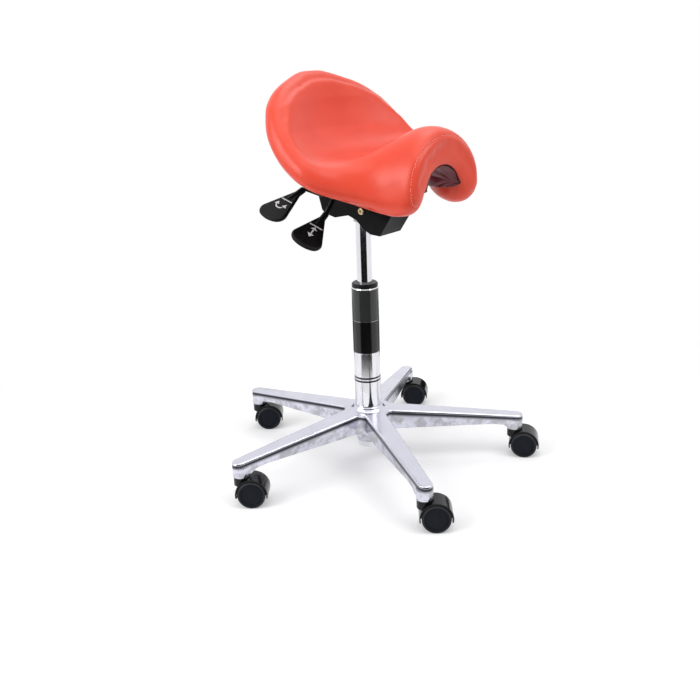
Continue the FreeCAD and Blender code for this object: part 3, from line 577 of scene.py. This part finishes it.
def evaluated_mesh(piece: bpy.types.Object) -> bpy.types.Mesh:
    """The mesh of an object with its modifiers applied."""
    graph = bpy.context.evaluated_depsgraph_get()
    return bpy.data.meshes.new_from_object(piece.evaluated_get(graph))


def smooth_path(points: list[Vector], rounds: int) -> list[Vector]:
    """Ease an open path, its ends held.

    Args:
        points: the path.
        rounds: how often each point moves halfway to its neighbours' middle.

    Returns:
        The eased path.
    """
    path = np.array([tuple(p) for p in points])
    for _ in range(rounds):
        path[1:-1] = 0.5 * path[1:-1] + 0.25 * (path[:-2] + path[2:])
    return [Vector(p) for p in path]


def spaced_path(points: list[Vector], step: float) -> list[Vector]:
    """Points at an even step along a path.

    Args:
        points: the path.
        step: distance between two points in metres.

    Returns:
        The points, with the path's two ends among them.
    """
    path = np.array([tuple(p) for p in points])
    runs = np.linalg.norm(np.diff(path, axis=0), axis=1)
    along = np.concatenate([[0.0], np.cumsum(runs)])
    places = np.linspace(0.0, along[-1], max(2, int(along[-1] / step)))
    return [Vector([np.interp(s, along, path[:, k]) for k in range(3)]) for s in places]


def tube_mesh(name: str, path: list[Vector], radius: float, sides: int = 6) -> bpy.types.Mesh:
    """Round tube along a path, drawn in at its ends.

    Args:
        name: mesh name.
        path: centre line.
        radius: radius of the tube.
        sides: number of sides.

    Returns:
        The mesh.
    """
    shape = bmesh.new()
    rings = []
    last = len(path) - 1
    side = None
    for index, point in enumerate(path):
        along = (path[min(index + 1, last)] - path[max(index - 1, 0)]).normalized()
        side = side or along.orthogonal()
        side = (side - along * side.dot(along)).normalized()
        other = along.cross(side)
        taper = radius if 0 < index < last else radius * TUBE_TIP
        turns = [2 * math.pi * k / sides for k in range(sides)]
        rings.append([shape.verts.new(point + taper * (side * math.cos(t) + other * math.sin(t)))
                      for t in turns])
    for first, second in zip(rings, rings[1:]):
        for k in range(sides):
            following = (k + 1) % sides
            shape.faces.new((first[k], first[following], second[following], second[k]))
    shape.faces.new(list(reversed(rings[0])))
    shape.faces.new(rings[-1])
    return finished_mesh(name, shape)


@dataclass
class SaddleSeat:
    """The padded saddle: its cover, sewn seam, edge welt and the lining of its arch."""

    wardrobe: Wardrobe
    parts: tuple[str, ...] = ("seat_cushion", "pommel_trim")
    voxel: float = 0.004
    front_round: float = 0.022
    front_rounds: int = 60
    ease_rounds: int = 4
    fair_from: float = 0.642
    fair_depth: float = 0.045
    fair_rounds: int = 120
    settle_rounds: int = 190
    settle_back: float = 0.0085
    stuffing: float = 4.0
    stuffing_frames: int = 20
    take_in: float = 0.0012
    swell_cap: float = 0.0030
    ease_pull: float = 0.5
    fair_push: float = 0.51
    cloth_steps: int = 4
    cloth_mass: float = 0.3
    after_rounds: int = 2
    seam_behind_front: float = 0.005
    seam_depth: float = 0.0013
    seam_width: float = 0.0022
    seam_step: float = 0.001
    seam_ease: int = 20
    seam_reach: float = 0.03
    stitch_length: float = 0.0032
    stitch_step: float = 0.0050
    stitch_radius: float = 0.00045
    stitch_offset: float = 0.0030
    welt_radius: float = 0.0011
    fan_y: float = -0.010
    fan_z: float = 0.720
    fan_from: float = 42.0
    fan_to: float = 171.0
    fan_steps: int = 90
    welt_slope: float = 60.0
    welt_step: float = 0.003
    half_ease: int = 8
    welt_ease: int = 4
    lining_voxel: float = 0.0013
    lining_rounds: int = 3
    wrinkle: float = 0.0022
    gather: float = 0.012
    fold_start: float = 0.02
    fold_end: float = 0.085
    fold_length: float = 0.05
    fold_rays: float = 6.0
    fold_swirl: float = 5.0
    fold_sway: float = 1.3
    sway_length: float = 0.014
    cross_length: float = 0.013
    cross_sway: float = 2.0
    cross_rays: float = 4.0
    fold_share: float = 0.75
    cross_share: float = 0.25
    fold_drop: float = 0.2
    cover: bpy.types.Object = field(init=False, default=None)

    def build(self) -> None:
        """Make every piece of the seat."""
        self.cover = self.build_cover()
        seam = self.front_seam()
        self.sink_seam(seam)
        self.sew(seam)
        self.build_welt()
        self.build_lining()

    def build_cover(self) -> bpy.types.Object:
        """The padding with its cover: the solids' form, remeshed, faired and stuffed.

        Returns:
            The cover.
        """
        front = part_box("seat_cushion")[0].y + self.front_round
        mesh = self.remeshed(self.joined_copy(), self.voxel)
        points = positions(mesh)
        links = self.edge_ends(mesh)
        near_front = np.clip((front - points[:, 1]) / self.front_round, 0.0, 1.0)
        points = self.relaxed(points, links, np.full(len(points), 1.0), self.ease_rounds)
        points = self.relaxed(points, links, near_front, self.front_rounds)
        cantle = np.clip((points[:, 2] - self.fair_from) / self.fair_depth, 0.0, 1.0)
        points = self.relaxed(points, links, cantle, self.settle_rounds)
        points = self.relaxed(points, links, cantle, self.fair_rounds, self.fair_push)
        move_to(mesh, points)
        move_to(mesh, points + self.settle_back * cantle[:, None] * normals(mesh))
        self.stuff(mesh)
        cover = new_piece("seat_cover", mesh, SEAT_BODY, Slot.CORAL_LEATHER, self.wardrobe)
        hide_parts(*self.parts)
        finer = cover.modifiers.new("finer", "SUBSURF")
        finer.levels = 1
        finer.render_levels = 1
        cover.data = evaluated_mesh(cover)
        cover.modifiers.clear()
        smooth(cover.data)
        return cover

    def remeshed(self, mesh: bpy.types.Mesh, voxel: float) -> bpy.types.Mesh:
        """An even mesh over the same form.

        Args:
            mesh: the form.
            voxel: size of the even mesh's cells in metres.

        Returns:
            A new mesh.
        """
        work = linked("remesh_work", mesh)
        remesh = work.modifiers.new("even", "REMESH")
        remesh.mode = "VOXEL"
        remesh.voxel_size = voxel
        even = evaluated_mesh(work)
        bpy.data.objects.remove(work)
        return even

    def joined_copy(self) -> bpy.types.Mesh:
        """One mesh of every solid that the cover wraps."""
        shape = bmesh.new()
        for name in self.parts:
            shape.from_mesh(frame["nodes"][name].data)
        return finished_mesh("cover_work", shape, outward=False)

    def stuff(self, mesh: bpy.types.Mesh) -> None:
        """Press the cover out from inside with a short cloth simulation, by no more than the cap.

        Args:
            mesh: the cover, whose vertices are moved.
        """
        taken_in = positions(mesh) - self.take_in * normals(mesh)
        move_to(mesh, taken_in)
        pad = linked("stuffing_work", mesh)
        cloth = pad.modifiers.new("stuffing", "CLOTH")
        cloth.settings.quality = self.cloth_steps
        cloth.settings.mass = self.cloth_mass
        cloth.settings.use_pressure = True
        cloth.settings.uniform_pressure_force = self.stuffing
        cloth.settings.effector_weights.gravity = 0.0
        cloth.point_cache.frame_end = self.stuffing_frames
        for step in range(1, self.stuffing_frames + 1):
            bpy.context.scene.frame_set(step)
        swollen = evaluated_mesh(pad)
        moved = positions(swollen) - taken_in
        bpy.data.meshes.remove(swollen)
        pad.modifiers.clear()
        bpy.data.objects.remove(pad)
        bpy.context.scene.frame_set(1)
        reach = np.linalg.norm(moved, axis=1)
        moved *= np.minimum(1.0, self.swell_cap / np.maximum(reach, 1e-9))[:, None]
        whole = np.full(len(moved), 1.0)
        move_to(mesh, self.relaxed(taken_in + moved, self.edge_ends(mesh), whole, self.after_rounds))

    def edge_ends(self, mesh: bpy.types.Mesh) -> np.ndarray:
        """Both ends of every edge of a mesh."""
        flat = np.empty(len(mesh.edges) * 2, dtype=np.int64)
        mesh.edges.foreach_get("vertices", flat)
        return flat.reshape(-1, 2)

    def relaxed(self, points: np.ndarray, links: np.ndarray, share: np.ndarray, rounds: int,
                push: float = 0.0) -> np.ndarray:
        """Move each point towards the middle of its neighbours.

        Args:
            points: vertex positions.
            links: pairs of joined vertices.
            share: how far each vertex takes part, from 0 to 1.
            rounds: number of passes.
            push: how far each pass then moves back out, so that only small bumps go.

        Returns:
            The new positions.
        """
        for _ in range(rounds):
            points = points + self.ease_pull * share[:, None] * self.pull(points, links)
            if push:
                points = points - push * share[:, None] * self.pull(points, links)
        return points

    def pull(self, points: np.ndarray, links: np.ndarray) -> np.ndarray:
        """The way from each point to the middle of its neighbours.

        Args:
            points: vertex positions.
            links: pairs of joined vertices.

        Returns:
            One row for each point.
        """
        size = len(points)
        ends = np.concatenate([links[:, 0], links[:, 1]])
        others = np.concatenate([links[:, 1], links[:, 0]])
        count = np.maximum(np.bincount(ends, minlength=size), 1)
        sums = [np.bincount(ends, weights=points[others, k], minlength=size) for k in range(3)]
        return np.stack(sums, axis=1) / count[:, None] - points

    def slice_points(self, origin: Vector, normal: Vector) -> tuple[list[Vector], list[tuple[int, int]]]:
        """Cut the cover with a plane.

        Args:
            origin: a point of the plane.
            normal: the plane's normal.

        Returns:
            The cut's points and the pairs of them that are joined.
        """
        shape = bmesh.new()
        shape.from_mesh(self.cover.data)
        cut = bmesh.ops.bisect_plane(shape, geom=shape.verts[:] + shape.edges[:] + shape.faces[:],
                                     plane_co=origin, plane_no=normal)["geom_cut"]
        verts = [item for item in cut if isinstance(item, bmesh.types.BMVert)]
        index = {vert: k for k, vert in enumerate(verts)}
        pairs = [tuple(index[v] for v in item.verts) for item in cut
                 if isinstance(item, bmesh.types.BMEdge)]
        points = [vert.co.copy() for vert in verts]
        shape.free()
        return points, pairs

    def front_seam(self) -> list[Vector]:
        """The seam round the front panel, from flap to flap over the pommel.

        Returns:
            Its points at an even step.
        """
        low = positions(self.cover.data)[:, 1].min()
        points, pairs = self.slice_points(Vector((0, low + self.seam_behind_front, 0)), Vector((0, 1, 0)))
        joined: dict[int, list[int]] = {}
        for a, b in pairs:
            joined.setdefault(a, []).append(b)
            joined.setdefault(b, []).append(a)
        top = max(range(len(points)), key=lambda k: points[k].z - abs(points[k].x) * 0.2)
        halves = []
        for step in joined[top]:
            path = [top, step]
            while True:
                ahead = [k for k in joined[path[-1]] if k != path[-2]]
                if not ahead or points[ahead[0]].z < points[path[-1]].z - 0.5 or len(path) > len(points):
                    break
                path.append(ahead[0])
                if len(path) > 12 and points[path[-1]].z > points[path[-6]].z:
                    break
            halves.append(path)
        path = list(reversed(halves[0])) + halves[1][1:]
        return spaced_path(smooth_path([points[k] for k in path], self.seam_ease), self.seam_step)

    def sink_seam(self, seam: list[Vector]) -> None:
        """Press a groove into the cover along the seam.

        Args:
            seam: the seam's path.
        """
        tree = KDTree(len(seam))
        for index, point in enumerate(seam):
            tree.insert(point, index)
        tree.balance()
        mesh = self.cover.data
        outward = [v.normal.copy() for v in mesh.vertices]
        for vertex, normal in zip(mesh.vertices, outward):
            if vertex.co.y > seam[0].y + self.seam_reach:
                continue
            _, _, gap = tree.find(vertex.co)
            if gap < 3 * self.seam_width:
                vertex.co -= normal * self.seam_depth * math.exp(-(gap / self.seam_width) ** 2)

    def sew(self, seam: list[Vector]) -> None:
        """Lay a row of stitches beside the seam.

        Args:
            seam: the seam's path.
        """
        tree = KDTree(len(self.cover.data.vertices))
        for vertex in self.cover.data.vertices:
            tree.insert(vertex.co, vertex.index)
        tree.balance()
        stitches = bmesh.new()
        row = spaced_path(seam, self.stitch_step)
        for first, second in zip(row, row[1:]):
            along = (second - first).normalized()
            middle = (first + second) / 2 + Vector((0, self.stitch_offset, 0))
            place, index, _ = tree.find(middle)
            out = self.cover.data.vertices[index].normal
            centre = place + out * self.stitch_radius * 0.4
            ends = [centre + along * self.stitch_length * s for s in (-0.5, -0.3, 0.0, 0.3, 0.5)]
            dips = (-1, -0.4, 0, 0.4, 1)
            ends = [p - out * self.stitch_radius * 1.2 * abs(s) for p, s in zip(ends, dips)]
            part = tube_mesh("stitch", ends, self.stitch_radius)
            stitches.from_mesh(part)
            bpy.data.meshes.remove(part)
        mesh = finished_mesh("seat_stitches", stitches, outward=False)
        new_piece("seat_stitches", mesh, SEAT_BODY, Slot.THREAD, self.wardrobe)

    def build_welt(self) -> None:
        """Thin welt along the lower edge of both flanks; its lighter leather colour is a painted highlight.
        """
        points = positions(self.cover.data)
        across = points[:, 0]
        y = self.fan_y - points[:, 1]
        z = self.fan_z - points[:, 2]
        turn = np.degrees(np.arctan2(z, y))
        reach = np.hypot(y, z)
        slope = math.radians(self.welt_slope)
        window = (self.fan_to - self.fan_from) / self.fan_steps
        halves = []
        for side in (-1, 1):
            support = side * across * math.cos(slope) + reach * math.sin(slope)
            path = []
            for step in range(self.fan_steps):
                angle = self.fan_from + (step + 0.5) * window
                near = np.flatnonzero((np.abs(turn - angle) < window) & (side * across > 0))
                if len(near):
                    path.append(Vector(points[near[np.argmax(support[near])]]))
            halves.append(smooth_path(path, self.half_ease))
        whole = smooth_path(halves[0] + list(reversed(halves[1])), self.welt_ease)
        path = spaced_path(whole, self.welt_step)
        mesh = tube_mesh("seat_welt", path, self.welt_radius)
        # Painted highlight: the welt wears the lighter copy of the leather.
        new_piece("seat_welt", mesh, SEAT_BODY, Slot.SEAT_HEM, self.wardrobe)

    def build_lining(self) -> None:
        """Lining of the arch, gathered into folds towards the lower front of each flap."""
        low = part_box("seat_lining")[0]
        mesh = self.remeshed(frame["nodes"]["seat_lining"].data.copy(), self.lining_voxel)
        points = positions(mesh)
        points = self.relaxed(points, self.edge_ends(mesh), np.full(len(points), 1.0), self.lining_rounds)
        inward = np.stack([-points[:, 0], np.zeros(len(points)), low.z - points[:, 2]], axis=1)
        inward /= np.linalg.norm(inward, axis=1)[:, None]
        dy = points[:, 1] - (low.y + self.gather)
        dz = points[:, 2] - (low.z + self.gather)
        turn = np.arctan2(dz, dy)
        reach = np.hypot(dy, dz)
        sway = self.fold_sway * np.sin(reach / self.sway_length)
        folds = np.sin(turn * self.fold_rays + self.fold_swirl * reach / self.fold_length + sway)
        cross = np.sin(reach / self.cross_length + self.cross_sway * np.sin(turn * self.cross_rays))
        ending = np.clip((self.fold_end - reach) / self.fold_length, 0.1, 1.0)
        fade = np.clip(reach / self.fold_start, 0.0, 1.0) * ending
        relief = self.fold_share * np.abs(folds) + self.cross_share * cross - self.fold_drop
        height = self.wrinkle * fade * relief
        mesh.vertices.foreach_set("co", (points + inward * height[:, None]).ravel())
        lining = new_piece("arch_lining", mesh, SEAT_BODY, Slot.BURGUNDY_LINING, self.wardrobe)
        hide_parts("seat_lining")


@dataclass
class TubeBands:
    """Blank label bands, a dark grey band of painted reflection at the tube's top, and the thin double ring
    on the column's tube.
    """

    wardrobe: Wardrobe
    black_low: float = 0.224
    black_high: float = 0.286
    clear_low: float = 0.146
    # Top of the dark grey band of painted reflection.
    painted_band_top: float = 0.3478
    ring_low: float = 0.166
    ring_height: float = 0.0035
    ring_gap: float = 0.0028
    film: float = 0.00022
    ring_share: float = 0.6
    painted_band_gap: float = 0.0004
    clear_gap: float = 0.0006
    edge: float = 0.0002
    flat_edge: float = 0.0006
    contact: float = 0.00003
    sides: int = 96

    def build(self) -> None:
        """Make the bands."""
        low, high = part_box("column_tube")
        radius = (high.x - low.x) / 2
        # The dark grey band is painted reflection: the chrome under the collar only looks dark by what it
        # reflects.
        for name, bottom, top, slot in (
                ("label_grey", self.black_high + self.painted_band_gap, self.painted_band_top, Slot.LABEL_GREY),
                ("label_black", self.black_low, self.black_high, Slot.LABEL_BLACK),
                ("label_clear", self.clear_low, self.black_low - self.clear_gap, Slot.LABEL_CLEAR)):
            self.band(name, radius, bottom, top, self.film, slot)
        for index in range(2):
            start = self.ring_low + index * (self.ring_height + self.ring_gap)
            self.band("label_ring_%d" % (index + 1), radius + self.film, start, start + self.ring_height,
                      self.film * self.ring_share, Slot.LABEL_BLACK)

    def band(self, name: str, radius: float, low: float, high: float, thickness: float,
             slot: Slot) -> None:
        """One band of film round the tube.

        Args:
            name: piece name.
            radius: radius of what it is stuck on.
            low: height of its lower edge.
            high: height of its upper edge.
            thickness: thickness of the film.
            slot: its finish.
        """
        shape = bmesh.new()
        outer = radius + thickness
        rows = (low + self.edge, low + self.flat_edge, high - self.flat_edge, high - self.edge)
        inner = radius + self.contact
        profile = [(inner, low), *((outer, row) for row in rows), (inner, high)]
        rings = []
        for k in range(self.sides):
            turn = 2 * math.pi * k / self.sides
            rings.append([shape.verts.new((r * math.cos(turn), r * math.sin(turn), z)) for r, z in profile])
        for k in range(self.sides):
            first, second = rings[k], rings[(k + 1) % self.sides]
            for j in range(len(profile)):
                following = (j + 1) % len(profile)
                shape.faces.new((first[j], second[j], second[following], first[following]))
        new_piece(name, finished_mesh(name, shape), BASE_BODY, slot, self.wardrobe)


class Mark(Enum):
    """What a paddle's printed mark shows."""

    RAISE = "raise"
    TILT = "tilt"


@dataclass
class PaddlePrint:
    """Plain printed arrow on the upper face of a lever's paddle."""

    wardrobe: Wardrobe
    node: str
    body: str
    mark: Mark
    size: float = 0.030
    from_tip: float = 0.039
    thickness: float = 0.00025
    search_back: float = 0.01
    search_side: float = 0.034
    lift: float = 0.00002

    def build(self) -> None:
        """Make the print."""
        points = positions(frame["nodes"][self.node].data)
        middle = points.mean(axis=0)
        _, _, axes = np.linalg.svd(points - middle, full_matrices=False)
        along = Vector(axes[0])
        up = Vector(axes[2])
        if up.z < 0:
            up = -up
        if along.x > 0:
            along = -along
        side = up.cross(along).normalized()
        spans = (points - middle) @ np.array(along)
        centre = Vector(middle) + along * (spans.max() - self.from_tip)
        centre = centre + up * self.top_height(points, along, side, up, centre)
        shape = bmesh.new()
        for outline in self.outlines():
            bottom = [shape.verts.new(centre + along * v * self.size + side * u * self.size)
                      for u, v in outline]
            upper = [shape.verts.new(v.co + up * self.thickness) for v in bottom]
            shape.faces.new(upper)
            shape.faces.new(list(reversed(bottom)))
            for k in range(len(outline)):
                n = (k + 1) % len(outline)
                shape.faces.new((bottom[k], bottom[n], upper[n], upper[k]))
        name = self.node + "_print"
        piece = new_piece(name, finished_mesh(name, shape), self.body, Slot.PRINT_WHITE, self.wardrobe)
        smooth(piece.data, False)

    def top_height(self, points: np.ndarray, along: Vector, side: Vector, up: Vector,
                   centre: Vector) -> float:
        """Height of the paddle's upper face over a point.

        Args:
            points: the paddle's vertices.
            along: the way the paddle points.
            side: the way across it.
            up: its normal.
            centre: the point.

        Returns:
            The height along the normal.
        """
        offsets = points - np.array(centre)
        ahead = offsets @ np.array(along) > -self.search_back
        near = ahead & (np.abs(offsets @ np.array(side)) < self.search_side)
        return float((offsets[near] @ np.array(up)).max()) + self.lift

    def outlines(self) -> list[list[tuple[float, float]]]:
        """The mark's closed outlines.

        Returns:
            Each outline's points, in units of the mark's size.
        """
        bar = [(-0.42, -0.5), (0.42, -0.5), (0.42, -0.42), (-0.42, -0.42)]
        if self.mark is Mark.RAISE:
            shaft = [(-0.045, -0.12), (0.045, -0.12), (0.045, 0.22), (-0.045, 0.22)]
            upper = [(-0.2, 0.24), (0.2, 0.24), (0.0, 0.5)]
            lower = [(-0.2, -0.14), (0.0, -0.36), (0.2, -0.14)]
            return [bar, shaft, upper, lower]
        turn = [math.radians(165 - 10 * k) for k in range(14)]
        outer = [(0.36 * math.cos(t), 0.36 * math.sin(t) - 0.02) for t in turn]
        inner = [(0.27 * math.cos(t), 0.27 * math.sin(t) - 0.02) for t in reversed(turn)]
        head = [(0.14, 0.08), (0.47, 0.13), (0.31, -0.16)]
        tail = [(-0.47, 0.1), (-0.14, 0.04), (-0.33, -0.18)]
        return [bar, outer + inner, head, tail]


@dataclass
class Studio:
    """Pale floor, soft lamps, dark cards and the camera of the photograph."""

    azimuth: float = -50.0
    elevation: float = 15.837
    roll: float = -1.710
    distance: float = 1.6781
    target_height: float = 0.3360
    lens: float = 46.17
    shift_x: float = -0.0215
    shift_y: float = -0.0812
    floor_lift: float = 0.22
    paper_near: float = 0.50
    paper_far: float = 1.00
    world_level: float = 0.42
    floor_half: float = 30.0
    aim_height: float = 0.5
    card_steps: int = 24
    card_foot: float = 0.002

    def build(self) -> None:
        """Set up floor, light, cards, camera and colour management."""
        self.build_floor()
        self.build_world()
        self.build_lamps()
        self.build_flags()
        self.build_camera()
        bpy.context.scene.view_settings.view_transform = "Standard"

    def directions(self) -> tuple[Vector, Vector, Vector]:
        """The camera's right, up and backward directions."""
        back = heading(self.azimuth, self.elevation)
        a = math.radians(self.azimuth)
        right = Vector((math.cos(a), math.sin(a), 0))
        return right, back.cross(right), back

    def build_camera(self) -> None:
        """Place the camera at the photograph's angle."""
        right, up, back = self.directions()
        roll = math.radians(self.roll)
        x = right * math.cos(roll) + up * math.sin(roll)
        y = up * math.cos(roll) - right * math.sin(roll)
        place = back * self.distance + Vector((0, 0, self.target_height))
        lens = bpy.data.cameras.new("photo_camera")
        lens.lens = self.lens
        lens.sensor_width = 36.0
        lens.shift_x = self.shift_x
        lens.shift_y = self.shift_y
        camera = linked("photo_camera", lens)
        turned = Matrix((x, y, back)).transposed().to_4x4()
        camera.matrix_world = Matrix.Translation(place) @ turned
        bpy.context.scene.camera = camera

    def build_floor(self) -> None:
        """Wide pale floor that keeps the stool's shadow."""
        mesh = bpy.data.meshes.new("floor")
        half = self.floor_half
        corners = [(-half, -half, 0), (half, -half, 0), (half, half, 0), (-half, half, 0)]
        mesh.from_pydata(corners, [], [(0, 1, 2, 3)])
        floor = linked("floor", mesh)
        graph = Graph("floor_paper")
        graph.set(Base_Color=(0.90, 0.90, 0.91, 1.0), Roughness=0.9, Specular_IOR_Level=0.0,
                  Emission_Color=(1.0, 1.0, 1.0, 1.0), Emission_Strength=0.0)
        seen = graph.seen()
        lift = graph.maths("MULTIPLY", seen, self.floor_lift)
        graph.link(lift, graph.shader.inputs["Emission Strength"])
        far = graph.spread(graph.from_axis(), 0.0, 1.0, (self.paper_near, self.paper_far))
        white = graph.node("Emission")
        mix = graph.node("MixShader")
        graph.link(graph.maths("MULTIPLY", far, seen), mix.inputs[0])
        graph.link(graph.shader.outputs[0], mix.inputs[1])
        graph.link(white.outputs[0], mix.inputs[2])
        graph.link(mix.outputs[0], graph.tree.nodes["Material Output"].inputs["Surface"])
        mesh.materials.append(graph.material)

    def build_world(self) -> None:
        """Even white light, seen as white by the camera and in metal."""
        world = bpy.data.worlds.new("studio")
        bpy.context.scene.world = world
        world.use_nodes = True
        nodes = Nodes(world.node_tree)
        background = world.node_tree.nodes["Background"]
        background.inputs["Color"].default_value = (1.0, 1.0, 1.0, 1.0)
        level = nodes.spread(nodes.seen(), self.world_level, 1.0, (0.0, 1.0))
        nodes.link(level, background.inputs["Strength"])

    def build_lamps(self) -> None:
        """Four large soft lamps round the stool."""
        self.lamp("key", 62.0, 26.0, 2.2, 1.5, 26.0)
        self.lamp("front", -62.0, 46.0, 2.4, 1.5, 20.0)
        self.lamp("back", 200.0, 62.0, 2.4, 1.2, 8.0)
        self.lamp("top", 10.0, 80.0, 2.4, 1.8, 14.0)

    def build_flags(self) -> None:
        """Dark cards round the stool, seen only in polish, that give metal its dark lines."""
        self.flag("flag_front", -50.0, 44.0, 0.50, 0.38)
        self.flag("flag_left", -158.0, -130.0, 0.62, 0.15)
        self.flag("flag_right", 128.0, 156.0, 0.62, 0.15)

    def flag(self, name: str, start: float, end: float, radius: float, height: float) -> None:
        """One dark card, bent round the column.

        Args:
            name: object name.
            start: where it starts, in degrees to the camera's right, seen from the stool.
            end: where it ends.
            radius: distance from the column.
            height: height of its upper edge.
        """
        back = heading(self.azimuth)
        right = self.directions()[0]
        places = []
        for step in range(self.card_steps + 1):
            turn = math.radians(start + (end - start) * step / self.card_steps)
            foot = (back * math.cos(turn) + right * math.sin(turn)) * radius
            places += [foot + Vector((0, 0, self.card_foot)), foot + Vector((0, 0, height))]
        faces = [(2 * k, 2 * k + 2, 2 * k + 3, 2 * k + 1) for k in range(self.card_steps)]
        mesh = bpy.data.meshes.new(name)
        mesh.from_pydata([tuple(p) for p in places], [], faces)
        card = linked(name, mesh)
        card.visible_camera = False
        card.visible_diffuse = False
        card.visible_shadow = False
        card.visible_transmission = False
        graph = Graph("dark_card")
        graph.set(Base_Color=(0.02, 0.02, 0.022, 1.0), Roughness=0.9, Specular_IOR_Level=0.0)
        mesh.materials.append(graph.material)

    def lamp(self, name: str, turn: float, height: float, distance: float, size: float,
             power: float) -> None:
        """One square lamp aimed at the seat.

        Args:
            name: lamp name.
            turn: degrees to the camera's left, seen from the stool.
            height: degrees above the floor.
            distance: metres from the seat.
            size: side of the square in metres.
            power: lamp power in watts.
        """
        out = heading(self.azimuth - turn, height)
        light = bpy.data.lights.new(name, "AREA")
        light.shape = "SQUARE"
        light.size = size
        light.energy = power
        lamp = linked(name, light)
        lamp.location = Vector((0, 0, self.aim_height)) + out * distance
        lamp.rotation_euler = out.to_track_quat("Z", "Y").to_euler()


def main() -> None:
    """Build the stool's looks in order."""
    logging.basicConfig(level=logging.INFO, format="%(message)s")
    wardrobe = Wardrobe()
    wardrobe.dress_nodes()
    LOG.info("finishes on %d nodes", len(frame["nodes"]))
    seat = SaddleSeat(wardrobe)
    seat.build()
    LOG.info("seat: cover, seam, stitches, welt and lining")
    TubeBands(wardrobe).build()
    LOG.info("column: blank label bands and ring")
    PaddlePrint(wardrobe, "height_paddle", "height_control", Mark.RAISE).build()
    PaddlePrint(wardrobe, "tilt_paddle", "tilt_control", Mark.TILT).build()
    LOG.info("paddles: printed arrows")
    Studio().build()
    LOG.info("studio: floor, lamps and camera")


if __name__ == "__main__":
    main()
